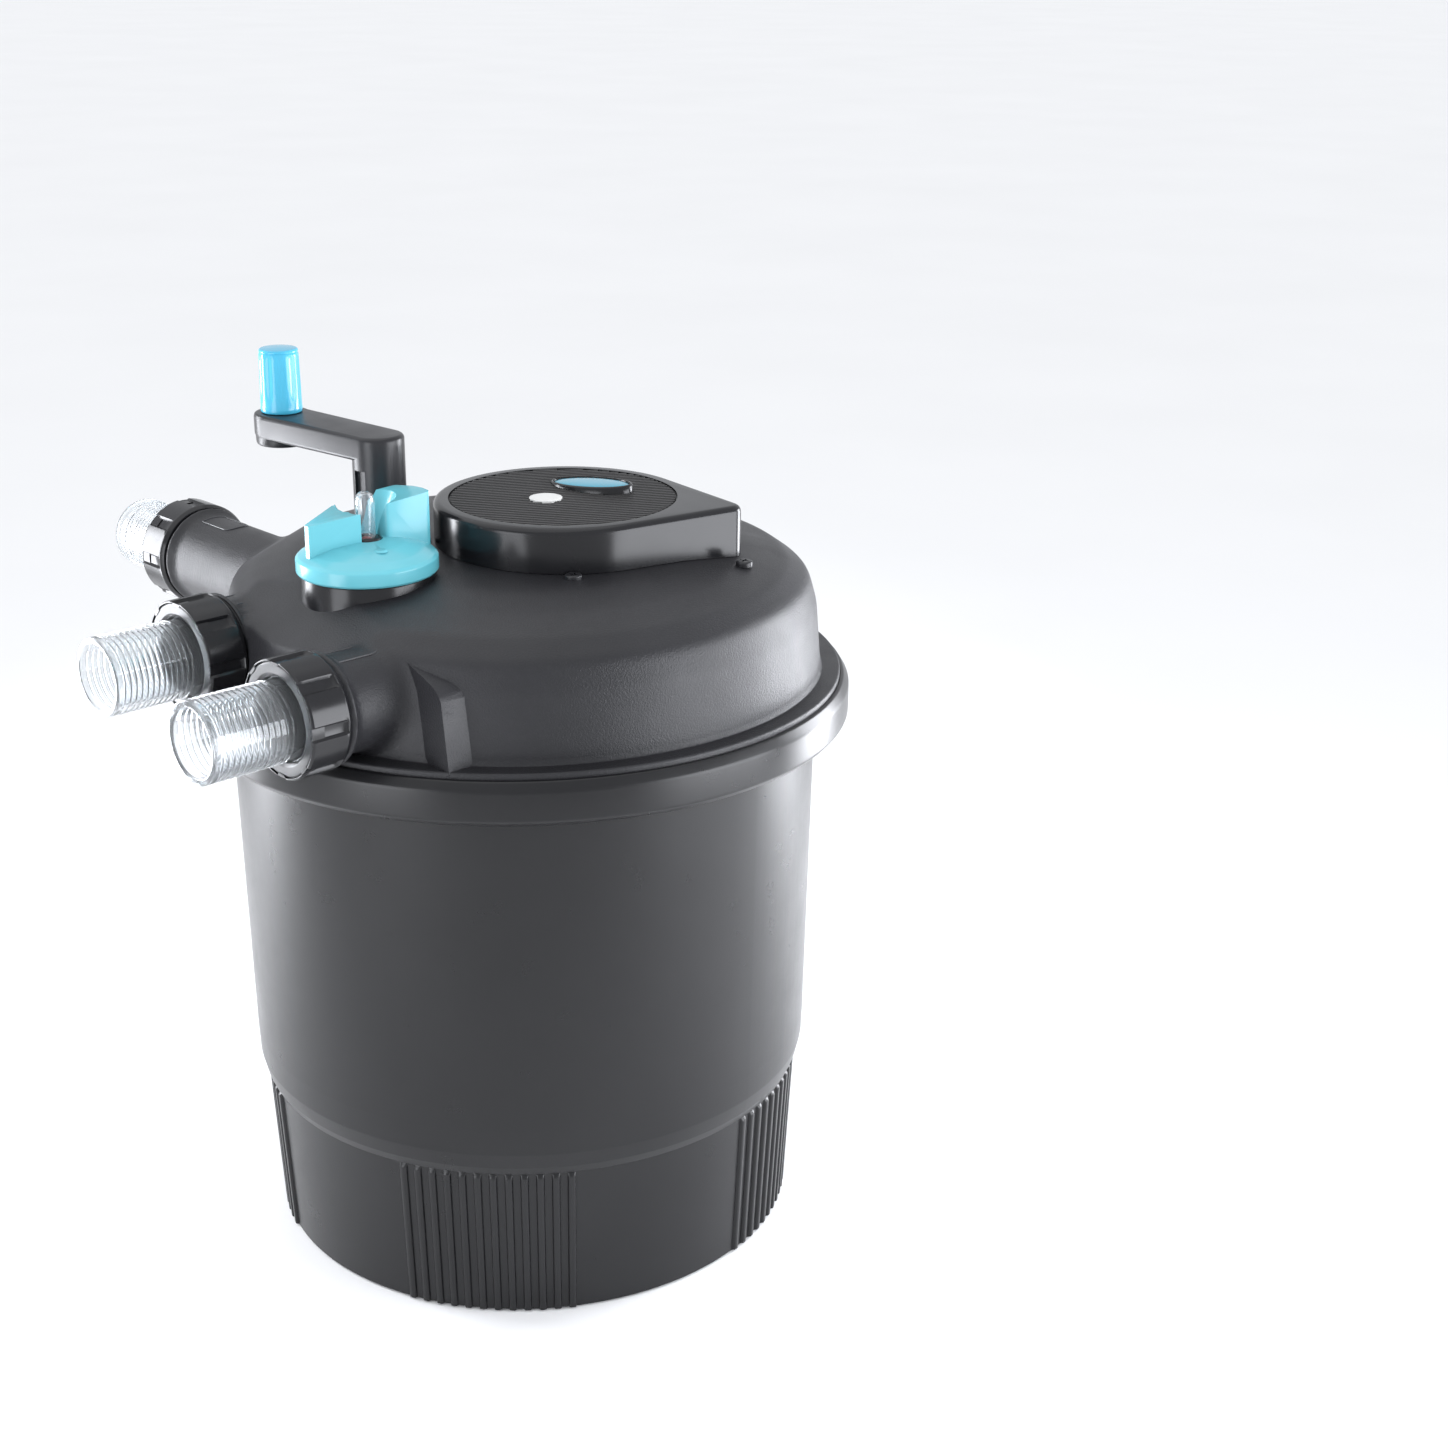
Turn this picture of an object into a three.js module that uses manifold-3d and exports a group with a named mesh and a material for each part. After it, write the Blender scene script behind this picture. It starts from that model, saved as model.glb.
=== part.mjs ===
// Pressurised pond filter: a stepped drum, a clamped-on head with three hose ports, a flow dial with
// a rod gauge, a hand crank, and inside them a foam pack that the crank turns round a UV lamp.
// Millimetres. +Z is up and the origin is the centre of the base. Hose ports 1 and 2 point along -X,
// hose port 3 points along +Y.

import * as THREE from 'three';
import { mergeVertices } from 'three/addons/utils/BufferGeometryUtils.js';
import Module from 'manifold-3d';

const wasm = await Module();
wasm.setup();

// ---------------------------------------------------------------- driving dimensions

const GAP = 0.3; // clearance between neighbouring pieces that would touch
const BIG_ROUND = 40; // facets round the drum and the head
const MID_ROUND = 20; // facets round the dial and the ports
const SMALL_ROUND = 12; // facets round pins and screws

const DRUM_WALL = 3.5;
const DRUM_FLOOR = 4;
const FLANGE_BOTTOM = 334; // underside of the drum's rim flange
const RIM = 344.3; // top of the drum's rim flange
const DRUM_FLANGE_R = 196.4;
const SEAL_R = 189; // middle of the main seal and of its groove
const SEAL_WIDTH = 4;

const HEAD_FLANGE_R = 194.3;
const HEAD_BOTTOM = RIM + 1.1;
const HEAD_FLANGE_TOP = 360.5;
const HEAD_WALL = 4;
const DOME_TOP = 440;

const BAND_R = 200;
const BAND_BOTTOM = 331;
const BAND_TOP = 357;
const CLASP_AZIMUTH = 54; // degrees, where the band is split

const PORT_Z = 391;
const PORT_SPREAD = 63; // ports 1 and 2 lie this far either side of the X axis
const PORT_3_X = -77;
const TUBE_R = 28;
const BORE_R = 23;
const NUT_LENGTH = 26;
const NUT_R = 33.5;
const NUT_FRONTS = [218, 202, 265]; // distance of each nut's front face along its port axis
const TAIL_R = 23.1;
const TAIL_BORE_R = 19;
const TAIL_REACH = 52.5; // hose tail beyond the nut

const DIAL_X = -113.2;
const DIAL_R = 40.7;
const DIAL_BOTTOM = 440.1;
const DIAL_EDGE_TOP = 450.1;
const DIAL_CROWN = 459.4;
const TURRET_R = 38;
const SIGHT_TOP = 486.2;
const SIGHT_R = 5.6;
const ROD_R = 3.2;

const CRANK_R = 84; // distance of the crank's axis from the drum's axis
const CRANK_AZIMUTH = 143.8;
const ARM_LENGTH = 88.5;
const ARM_AZIMUTH = 95.8;
const ARM_BOTTOM = 489.2;
const ARM_TOP = 504.2;
const GRIP_TOP = 544;

const MODULE = 4; // of the crank's gears
const PINION_TEETH = 9;
const GEAR_TEETH = 33;
const GEAR_BOTTOM = 324;
const GEAR_TOP = 333;

const COVER = { x: 19.6, y: -15.5, r: 78, tipX: 84.5, tipY: -102.7, tipR: 9, top: 464, wall: 3 };

const PLATE_R = 156; // of the foam pack's two plates
const PLATE_BOTTOM = 20.5;
const TOP_PLATE = 318;
const PLATE_THICK = 5;
const TUBE_IN = 26; // bore of the foam pack's centre tube
const TUBE_OUT = 29;
const FOAM_R = 144;
const FOAM_RINGS = 5;
const TIE_ROD_RING = 150;

const SLEEVE_R = 23.5;
const SLEEVE_BOTTOM = 26;
const SLEEVE_TOP = 447;
const LAMP_BOTTOM = 41;
const LAMP_TOP = 452;

// ---------------------------------------------------------------- materials

function material(color, roughness, metalness = 0, opacity = 1) {
  return new THREE.MeshStandardMaterial({
    color, roughness, metalness, opacity, transparent: opacity < 1,
  });
}

const black = material(0x17171a, 0.45);
const blackMatte = material(0x1c1c20, 0.7);
const blackGloss = material(0x101013, 0.2);
const cyan = material(0x6ec8dc, 0.38);
const blueGrip = material(0x4fb4e6, 0.35);
const clear = material(0xdfe8ea, 0.15, 0, 0.45);
const quartz = material(0xf0f6fa, 0.05, 0, 0.3);
const white = material(0xf2f2ee, 0.3);
const rubber = material(0x202022, 0.9);
const steel = material(0xb8bcc0, 0.3, 1);
const foamBlue = material(0x3a6fa8, 0.95);
const foamRed = material(0xa84a3a, 0.95);
const redRod = material(0xd03a2a, 0.4);

// ---------------------------------------------------------------- geometry helpers

const radians = THREE.MathUtils.degToRad;

// A solid of revolution about Z. The profile is [radius, z] pairs, anticlockwise with radius to
// the right and z up, and either starts and ends on the axis or closes on itself.
function revolve(profile, facets) {
  const points = profile.map(([r, z]) => new THREE.Vector2(r, z));
  return new THREE.LatheGeometry(points, facets).rotateX(Math.PI / 2).rotateZ(Math.PI / 2);
}

function rod(radius, bottom, top, facets = SMALL_ROUND) {
  return revolve([[0, bottom], [radius, bottom], [radius, top], [0, top]], facets);
}

function ring(inner, outer, bottom, top, facets = MID_ROUND) {
  const section = [[inner, bottom], [outer, bottom], [outer, top], [inner, top], [inner, bottom]];
  return revolve(section, facets);
}

function block(x0, x1, y0, y1, z0, z1) {
  const box = new THREE.BoxGeometry(x1 - x0, y1 - y0, z1 - z0);
  return box.translate((x0 + x1) / 2, (y0 + y1) / 2, (z0 + z1) / 2);
}

// An upright prism over a THREE.Shape, with an optional chamfer inside its outline.
function prism(shape, bottom, top, chamfer = 0, curveSegments = 8) {
  const options = {
    depth: top - bottom - 2 * chamfer,
    curveSegments,
    bevelEnabled: chamfer > 0,
    bevelThickness: chamfer,
    bevelSize: chamfer,
    bevelOffset: -chamfer,
    bevelSegments: 1,
  };
  return new THREE.ExtrudeGeometry(shape, options).translate(0, 0, bottom + chamfer);
}

function polygon(points) {
  return new THREE.Shape(points.map(([x, y]) => new THREE.Vector2(x, y)));
}

function toSolid(geometry) {
  const bare = geometry.clone();
  bare.deleteAttribute('normal');
  bare.deleteAttribute('uv');
  const merged = mergeVertices(bare, 1e-4);
  const corners = [];
  for (let i = 0; i < merged.index.count; i += 3) {
    const triangle = [0, 1, 2].map((k) => merged.index.getX(i + k));
    if (new Set(triangle).size === 3) corners.push(...triangle);
  }
  return new wasm.Manifold(new wasm.Mesh({
    numProp: 3,
    vertProperties: new Float32Array(merged.attributes.position.array),
    triVerts: new Uint32Array(corners),
  }));
}

function toGeometry(solid) {
  const mesh = solid.getMesh();
  const geometry = new THREE.BufferGeometry();
  geometry.setAttribute('position', new THREE.BufferAttribute(mesh.vertProperties, 3));
  geometry.setIndex(new THREE.BufferAttribute(mesh.triVerts, 1));
  return geometry;
}

function join(first, ...others) {
  return toGeometry(others.reduce((sum, other) => sum.add(toSolid(other)), toSolid(first)));
}

function cut(first, ...tools) {
  return toGeometry(tools.reduce((rest, tool) => rest.subtract(toSolid(tool)), toSolid(first)));
}

// The same geometry copied to equal steps round the Z axis.
function around(geometry, count, start = 0, step = (2 * Math.PI) / count) {
  return Array.from({ length: count }, (_, i) => geometry.clone().rotateZ(start + i * step));
}

const filter = new THREE.Group();

function group(parent, position = [0, 0, 0], turn = [0, 0, 0]) {
  const child = new THREE.Group();
  child.position.set(...position);
  child.rotation.set(...turn);
  parent.add(child);
  return child;
}

// Every piece is stored as a clean closed solid.
function piece(parent, name, geometry, finish) {
  const mesh = new THREE.Mesh(toGeometry(toSolid(geometry)), finish);
  mesh.name = name;
  parent.add(mesh);
  return mesh;
}

// ---------------------------------------------------------------- drum

const drum = group(filter);

const drumOutside = [
  [0, 0], [161, 0], [164, 3], [169.5, 100], [173, 106], [176, 130], [179.5, FLANGE_BOTTOM],
  [DRUM_FLANGE_R, FLANGE_BOTTOM], [DRUM_FLANGE_R, RIM],
];
const seatOut = SEAL_R + SEAL_WIDTH / 2 + GAP;
const seatIn = SEAL_R - SEAL_WIDTH / 2 - GAP;
const seatFloor = RIM - 4.3;
const drumInside = [
  [seatOut, RIM], [seatOut, seatFloor], [seatIn, seatFloor], [seatIn, RIM],
  [179.5 - DRUM_WALL, RIM], [179.5 - DRUM_WALL, FLANGE_BOTTOM], [176 - DRUM_WALL, 128],
  [169.5 - DRUM_WALL, 99], [164 - DRUM_WALL, DRUM_FLOOR], [0, DRUM_FLOOR],
];
piece(drum, 'drum_body', revolve([...drumOutside, ...drumInside], BIG_ROUND), black);

const sealIn = SEAL_R - SEAL_WIDTH / 2;
const sealOut = SEAL_R + SEAL_WIDTH / 2;
const mainSeal = ring(sealIn, sealOut, seatFloor + GAP, HEAD_BOTTOM - GAP, BIG_ROUND);
piece(drum, 'main_seal', mainSeal, rubber);

piece(drum, 'bearing_ring', ring(32, 40, DRUM_FLOOR + GAP, PLATE_BOTTOM - GAP), blackMatte);

// ---------------------------------------------------------------- clasp band, split at its +X side

const clasp = group(drum, [0, 0, 0], [0, 0, radians(CLASP_AZIMUTH)]);

const PIN_X = 206; // hinge pin of the lever
const PIN_Y = 20;
const PIN_R = 2;
const LINK_X = 213.5; // middle of the link, and of its bar in the lever
const LINK_Y = 34;
const LINK_BAR = 3;
const LEVER_BOTTOM = 337.4;
const LEVER_TOP = 351.6;

const bandSection = [
  [181.5, BAND_BOTTOM], [BAND_R - 3, BAND_BOTTOM], [BAND_R, BAND_BOTTOM + 4],
  [BAND_R, BAND_TOP - 4], [BAND_R - 4, BAND_TOP],
  [HEAD_FLANGE_R + GAP, BAND_TOP], [HEAD_FLANGE_R + GAP, RIM + GAP],
  [DRUM_FLANGE_R + 0.4, RIM + GAP], [DRUM_FLANGE_R + 0.4, FLANGE_BOTTOM - GAP],
  [181.5, FLANGE_BOTTOM - GAP], [181.5, BAND_BOTTOM],
];
const pinEars = join(
  block(197.5, 211, 14, 26, BAND_BOTTOM + 2, LEVER_BOTTOM - 0.4),
  block(197.5, 211, 14, 26, LEVER_TOP + 0.4, BAND_TOP - 1.5),
);
const bandWithEars = join(
  cut(revolve(bandSection, BIG_ROUND), block(170, 210, -12, 12, 320, 370)),
  pinEars,
  block(197.5, 219, -24, -16, 340, 350),
);
const pinHole = rod(PIN_R + GAP, 300, 380).translate(PIN_X, PIN_Y, 0);
piece(clasp, 'clasp_band', cut(bandWithEars, pinHole), blackGloss);

const claspPin = rod(PIN_R, BAND_BOTTOM + 1, BAND_TOP - 0.5).translate(PIN_X, PIN_Y, 0);
piece(clasp, 'clasp_pin', claspPin, steel);

const leverOutline = polygon([
  [201, 17], [206, 14.5], [211, 17], [218, 29], [218.5, 38], [214, 62], [205, 92], [199.5, 91],
  [207, 62], [210, 42], [206, 36], [201, 23],
]);
const linkHole = rod(2.6, 300, 380).translate(LINK_X, LINK_Y, 0);
const lever = cut(prism(leverOutline, LEVER_BOTTOM, LEVER_TOP), pinHole, linkHole);
piece(clasp, 'clasp_lever', lever, blackGloss);

const linkHalf = LINK_BAR / 2;
const linkOutside = block(
  LINK_X - linkHalf, LINK_X + linkHalf, -29, LINK_Y + linkHalf, LEVER_BOTTOM - 3.9, LEVER_TOP + 3.9,
);
const linkWindow = block(
  LINK_X - 5, LINK_X + 5, -26, LINK_Y - linkHalf, LEVER_BOTTOM - 0.9, LEVER_TOP + 0.9,
);
piece(clasp, 'clasp_link', cut(linkOutside, linkWindow), steel);

// ---------------------------------------------------------------- head shell

const head = group(filter);

const headOutside = [
  [HEAD_FLANGE_R, HEAD_BOTTOM], [HEAD_FLANGE_R, HEAD_FLANGE_TOP], [182, HEAD_FLANGE_TOP],
  [179, 400], [177, 412], [172, 421], [160, 427], [140, 432], [110, 436], [0, DOME_TOP],
];
const headInside = [
  [0, DOME_TOP - HEAD_WALL], [110, 432], [140, 428], [158, 423], [168, 418], [174.5, 400],
  [178, HEAD_FLANGE_TOP], [178, HEAD_BOTTOM],
];
const headBody = revolve([...headInside, ...headOutside.slice(0, -1), [0, DOME_TOP]], BIG_ROUND);

const crankX = CRANK_R * Math.cos(radians(CRANK_AZIMUTH));
const crankY = CRANK_R * Math.sin(radians(CRANK_AZIMUTH));

// Each port has a frame of its own: its origin is at the nut's back face and +Z points outward.
const ports = NUT_FRONTS.map((front, i) => {
  const back = front - NUT_LENGTH;
  const towardY = i === 2;
  return {
    number: i + 1,
    position: towardY ? [PORT_3_X, back, PORT_Z] : [-back, (2 * i - 1) * PORT_SPREAD, PORT_Z],
    turn: towardY ? [-Math.PI / 2, 0, 0] : [0, -Math.PI / 2, 0],
    root: (towardY ? 148 : 160) - back, // where the tube starts, inside the head's wall
  };
});

function inPortFrame(port, geometry) {
  const place = new THREE.Object3D();
  place.position.set(...port.position);
  place.rotation.set(...port.turn);
  place.updateMatrix();
  return geometry.applyMatrix4(place.matrix);
}

const SPIGOT_END = 16; // threaded end that the nut screws onto
const PORT_FLANGE_R = 32.2;

function portTube(port) {
  const outline = [
    [0, port.root], [TUBE_R, port.root], [TUBE_R, -4], [PORT_FLANGE_R, -3.6], [PORT_FLANGE_R, -1.4],
    [TUBE_R, -1], [TUBE_R, SPIGOT_END], [0, SPIGOT_END],
  ];
  return inPortFrame(port, revolve(outline, MID_ROUND));
}

function portBore(port) {
  return inPortFrame(port, rod(BORE_R, port.root - 8, SPIGOT_END + 1, MID_ROUND));
}

// Port 2's nut sits in a shallow round seat in the head's wall, backed by a pad inside it.
const seatPad = inPortFrame(ports[1], rod(38, ports[1].root, -2, MID_ROUND));
const nutSeat = inPortFrame(ports[1], rod(NUT_R + 1, -0.5, 20, MID_ROUND));

// A gusset is a wedge between a port tube and the flange below it.
function gusset(acrossFlange, alongFrom, alongTo) {
  const outline = polygon([[0, HEAD_FLANGE_TOP - 2], [acrossFlange, HEAD_FLANGE_TOP - 2], [3, 405]]);
  return prism(outline, alongFrom, alongTo);
}
const gusset1 = gusset(36, 0, 22).rotateX(Math.PI / 2).rotateZ(-Math.PI / 2).translate(-150, -85, 0);
const gusset3 = gusset(30, 0, 22).rotateX(Math.PI / 2).rotateZ(Math.PI).translate(-99, 118, 0);

const turret = rod(TURRET_R, 422, DIAL_BOTTOM - GAP, MID_ROUND).translate(DIAL_X, 0, 0);
const SHAFT_R = 10; // of the diverter's rotor
const CRANK_BUSH_R = 11;

const headSolid = cut(
  join(cut(join(headBody, seatPad), nutSeat), ...ports.map(portTube), turret, gusset1, gusset3),
  ...ports.map(portBore),
  rod(SHAFT_R + 0.4, 400, 460, MID_ROUND).translate(DIAL_X, 0, 0),
  rod(CRANK_BUSH_R + GAP, 400, 460, MID_ROUND).translate(crankX, crankY, 0),
  rod(SLEEVE_R + 0.6, 400, 460, MID_ROUND),
);
piece(head, 'head_shell', headSolid, blackMatte);

// ---------------------------------------------------------------- lamp cover

// The cover's outline is a circle drawn out to one rounded corner, so both flanks are tangents.
function teardrop(inset) {
  const bigR = COVER.r - inset;
  const tipR = COVER.tipR - inset;
  const reach = Math.hypot(COVER.tipX - COVER.x, COVER.tipY - COVER.y) - COVER.tipR;
  const heading = Math.atan2(COVER.tipY - COVER.y, COVER.tipX - COVER.x);
  const lean = Math.acos((bigR - tipR) / reach);
  const shape = new THREE.Shape();
  shape.absarc(COVER.x, COVER.y, bigR, heading + lean, heading - lean + 2 * Math.PI, false);
  const tip = [COVER.x + reach * Math.cos(heading), COVER.y + reach * Math.sin(heading)];
  shape.absarc(...tip, tipR, heading - lean, heading + lean, false);
  return shape;
}
const aboveDome = headOutside.slice(2).map(([r, z]) => [r, z + GAP]);
const domeTool = revolve([[0, 300], [182, 300], ...aboveDome], BIG_ROUND);
const coverSkin = prism(teardrop(0), 415, COVER.top, 2.5, 16);
const coverHollow = prism(teardrop(COVER.wall), 400, COVER.top - COVER.wall, 0, 16);
piece(head, 'lamp_cover', cut(coverSkin, coverHollow, domeTool), blackGloss);

const BADGE = { x: 47.4, y: -9.5, half: [26, 12.5], azimuth: radians(-72.4) };
function ellipsePrism(halfLong, halfShort, bottom, top) {
  const shape = new THREE.Shape();
  shape.absellipse(0, 0, halfLong, halfShort, 0, 2 * Math.PI, false, 0);
  return prism(shape, bottom, top, 0, 12);
}
const badge = group(head, [BADGE.x, BADGE.y, COVER.top + GAP], [0, 0, BADGE.azimuth]);
const bezel = cut(
  ellipsePrism(BADGE.half[0] + 2, BADGE.half[1] + 2, 0, 3),
  ellipsePrism(BADGE.half[0] + GAP, BADGE.half[1] + GAP, -1, 4),
);
piece(badge, 'badge_bezel', bezel, black);
piece(badge, 'badge_plate', ellipsePrism(...BADGE.half, 0, 2.2), cyan);

const lens = revolve([[0, 0], [10, 0], [10, 1.2], [7, 2.6], [0, 3.2]], MID_ROUND);
piece(group(head, [8.3, -12.9, COVER.top + GAP]), 'indicator_lens', lens, white);

const glandWall = COVER.r + GAP;
const glandProfile = [[0, 0], [8, 0], [8, 6], [6, 7], [5.4, 15], [3.6, 15], [3.6, 9], [0, 9]];
const glandHeading = radians(60);
const glandAt = [
  COVER.x + glandWall * Math.cos(glandHeading), COVER.y + glandWall * Math.sin(glandHeading), 451,
];
const gland = group(head, glandAt, [0, 0, glandHeading]);
piece(gland, 'cable_gland', revolve(glandProfile, SMALL_ROUND).rotateY(Math.PI / 2), blackMatte);

const screwProfile = [[0, 0], [5, 0], [5, 2], [3.6, 3.6], [0, 4]];
[[-29.8, -83.4, 437.6], [72, -119, 433.8], [-50, 33, 438.6]].forEach((place, i) => {
  piece(group(head, place), `cover_screw_${i + 1}`, revolve(screwProfile, SMALL_ROUND), steel);
});

// ---------------------------------------------------------------- UV lamp in its quartz sleeve

const sleeve = [
  [0, SLEEVE_BOTTOM], [12, SLEEVE_BOTTOM + 2.5], [20, SLEEVE_BOTTOM + 9], [SLEEVE_R, SLEEVE_BOTTOM + 20],
  [SLEEVE_R, SLEEVE_TOP], [SLEEVE_R - 2, SLEEVE_TOP], [SLEEVE_R - 2, SLEEVE_BOTTOM + 20],
  [18.5, SLEEVE_BOTTOM + 11], [11, SLEEVE_BOTTOM + 4.5], [0, SLEEVE_BOTTOM + 2],
];
piece(head, 'quartz_sleeve', revolve(sleeve, MID_ROUND), quartz);
piece(head, 'sleeve_seal', ring(SLEEVE_R + GAP, 29, DOME_TOP + 0.5, 444.4), rubber);
piece(head, 'sleeve_nut', ring(SLEEVE_R + 0.5, 34, 444.8, 452), black);

function lampShape() {
  const half = 10.5;
  const r = 8.6;
  const shape = new THREE.Shape();
  shape.absarc(half, 0, r, -Math.PI / 2, Math.PI / 2, false);
  shape.absarc(-half, 0, r, Math.PI / 2, (3 * Math.PI) / 2, false);
  return shape;
}
piece(head, 'uv_lamp', prism(lampShape(), LAMP_BOTTOM, LAMP_TOP), white);
piece(head, 'lamp_holder', block(-18, 18, -8, 8, LAMP_TOP + GAP, COVER.top - COVER.wall - GAP), white);

const coverHeading = Math.atan2(COVER.tipY - COVER.y, COVER.tipX - COVER.x);
const ballastPlace = group(head, [50, -58, 0], [0, 0, coverHeading]);
piece(ballastPlace, 'ballast', block(-15, 15, -27, 27, 441, 455), steel);

// ---------------------------------------------------------------- flow diverter and its dial

const CHAMBER_IN = 33.3;
const chamber = group(head, [DIAL_X, 0, 0]);
const chamberWindows = [0.5, 1.5, 2.5].map((turn) => (
  block(20, 50, -12, 12, 400, 414).rotateZ(turn * radians(120))
));
const chamberRing = cut(ring(CHAMBER_IN, 36.5, 396, 422 - GAP), ...chamberWindows);
piece(chamber, 'diverter_chamber', chamberRing, blackMatte);

const dial = group(filter, [DIAL_X, 0, 0]);
const WELL_R = 9.2; // well in the dial round the sight tube

const dialDisc = revolve([
  [WELL_R, DIAL_BOTTOM], [DIAL_R - 1.2, DIAL_BOTTOM], [DIAL_R, DIAL_BOTTOM + 1.6],
  [DIAL_R, DIAL_EDGE_TOP - 1.8], [DIAL_R - 1.6, DIAL_EDGE_TOP], [33, 453.2], [22, DIAL_CROWN - 2.6],
  [WELL_R, DIAL_CROWN - 0.5], [WELL_R, DIAL_BOTTOM],
], MID_ROUND);

// The grip is two blades either side of the well, under one sloping top.
const leftBlade = polygon([
  [-35.4, 4.6], [-7.2, -5.9], [-8, -0.7], [-8.2, 3.8], [-9.7, 7.6], [-8.3, 15.4], [-6.1, 23.6],
  [-34.9, 9.3],
]);
const rightBlade = polygon([
  [11.5, -4.9], [38.7, -10.3], [40, 0], [39.2, 8], [34.9, 19.5], [20, 24], [-6.1, 23.6], [-8.3, 15.4],
  [2, 12],
]);
const GRIP_SLOPE = 0.146;
const slopeHeading = radians(-11.4);
const topTool = block(-80, 80, -80, 80, 0, 60)
  .rotateY(-Math.atan(GRIP_SLOPE)).rotateZ(slopeHeading).translate(0, 0, 476);
const funnel = revolve([[0, 456], [9.4, 456], [19.5, 482], [19.5, 490], [0, 490]], MID_ROUND)
  .translate(8.6, 13.1, 0);
const blades = cut(
  join(prism(leftBlade, 446, 488), prism(rightBlade, 446, 488)),
  topTool,
  funnel,
  rod(WELL_R, 430, 500, MID_ROUND),
);
piece(dial, 'control_dial', join(dialDisc, blades), cyan);

const ROTOR_TOP = 444;
const rotorBody = revolve([
  [ROD_R + 0.8, 397], [CHAMBER_IN - 0.8, 397], [CHAMBER_IN - 0.8, 400], [SHAFT_R, 400],
  [SHAFT_R, 418], [CHAMBER_IN - 0.8, 418], [CHAMBER_IN - 0.8, 421], [SHAFT_R, 421],
  [SHAFT_R, DIAL_BOTTOM - GAP], [WELL_R - GAP, DIAL_BOTTOM - GAP], [WELL_R - GAP, ROTOR_TOP],
  [ROD_R + 0.8, ROTOR_TOP], [ROD_R + 0.8, 397],
], MID_ROUND);
const rotorVane = block(SHAFT_R - 2, CHAMBER_IN - 1.5, -2, 2, 399, 419);
piece(dial, 'diverter_rotor', join(rotorBody, rotorVane, rotorVane.clone().rotateZ(Math.PI)), white);

const BEARING_TOP = 460;
const bearing = ring(SIGHT_R + GAP, WELL_R - 0.6, ROTOR_TOP + GAP, BEARING_TOP);
piece(dial, 'rod_bearing', bearing, blackGloss);

const sightIn = SIGHT_R - 1.2;
const sightTube = [
  [sightIn, ROTOR_TOP + GAP], [SIGHT_R, ROTOR_TOP + GAP], [SIGHT_R, SIGHT_TOP - 5],
  [SIGHT_R * 0.8, SIGHT_TOP - 1.8], [SIGHT_R * 0.4, SIGHT_TOP - 0.4], [0, SIGHT_TOP],
  [0, SIGHT_TOP - 1.4], [sightIn * 0.6, SIGHT_TOP - 2.4], [sightIn, SIGHT_TOP - 5.5],
  [sightIn, ROTOR_TOP + GAP],
];
piece(dial, 'sight_dome', revolve(sightTube, MID_ROUND), clear);

const DISPLAY_ROD_TOP = 465;
piece(dial, 'display_rod', rod(ROD_R, 398, DISPLAY_ROD_TOP), redRod);

// ---------------------------------------------------------------- crank

const crank = group(filter, [crankX, crankY, 0]);
const LEG_R = 15.7;
const LEG_BOTTOM = 438.2;
const SHAFT_TOP = 470;
const CRANK_SHAFT_R = 6;
const END_R = 16.5;

piece(head, 'crank_bush', ring(CRANK_SHAFT_R + 0.4, CRANK_BUSH_R, 424, LEG_BOTTOM - GAP)
  .translate(crankX, crankY, 0), white);

const armHeading = radians(ARM_AZIMUTH);
function armShape() {
  const lean = Math.acos((LEG_R - END_R) / ARM_LENGTH);
  const shape = new THREE.Shape();
  shape.absarc(0, 0, LEG_R, lean, 2 * Math.PI - lean, false);
  shape.absarc(ARM_LENGTH, 0, END_R, -lean, lean, false);
  return shape;
}
const arm = prism(armShape(), ARM_BOTTOM, ARM_TOP, 2.5, 8);
const leg = rod(LEG_R, LEG_BOTTOM, ARM_BOTTOM + 3, MID_ROUND);
const GRIP_PIN_R = 3.5;
const armWithHoles = cut(
  join(arm, leg),
  rod(CRANK_SHAFT_R + GAP, LEG_BOTTOM - 1, SHAFT_TOP + GAP),
  rod(GRIP_PIN_R + GAP, 493, ARM_TOP + 1).translate(ARM_LENGTH, 0, 0),
);
const armPlace = group(crank, [0, 0, 0], [0, 0, armHeading]);
piece(armPlace, 'crank_arm', armWithHoles, black);
piece(crank, 'crank_shaft', rod(CRANK_SHAFT_R, GEAR_BOTTOM + 1, SHAFT_TOP), steel);

const gripPlace = group(armPlace, [ARM_LENGTH, 0, 0]);
piece(gripPlace, 'grip_pin', rod(GRIP_PIN_R, 493 + GAP, GRIP_TOP - 6), steel);
const gripSection = [
  [0, GRIP_TOP], [0, GRIP_TOP - 5], [GRIP_PIN_R + 0.4, GRIP_TOP - 5], [GRIP_PIN_R + 0.4, ARM_TOP + GAP],
  [12.8, ARM_TOP + GAP], [13, 508], [12.2, 516], [12.2, GRIP_TOP - 3], [10, GRIP_TOP - 0.6], [0, GRIP_TOP],
];
piece(gripPlace, 'crank_grip', revolve(gripSection, MID_ROUND), blueGrip);

// A spur gear's outline: straight-sided teeth with generous backlash, one centred on +X.
function gearShape(teeth, holeR) {
  const pitchR = (MODULE * teeth) / 2;
  const points = [];
  for (let i = 0; i < teeth; i += 1) {
    const centre = (2 * Math.PI * i) / teeth;
    const root = pitchR - 1.2 * MODULE;
    const tip = pitchR + 0.85 * MODULE;
    const corners = [
      [root, -0.96 * MODULE], [tip, -0.3 * MODULE], [tip, 0.3 * MODULE], [root, 0.96 * MODULE],
    ];
    corners.forEach(([r, half]) => {
      const angle = centre + half / r;
      points.push([r * Math.cos(angle), r * Math.sin(angle)]);
    });
  }
  const shape = polygon(points);
  if (holeR > 0) {
    const hole = new THREE.Path();
    hole.absarc(0, 0, holeR, 0, 2 * Math.PI, true);
    shape.holes.push(hole);
  }
  return shape;
}
const pinion = prism(gearShape(PINION_TEETH, CRANK_SHAFT_R + GAP), GEAR_BOTTOM + 0.5, GEAR_TOP, 0, 6);
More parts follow.
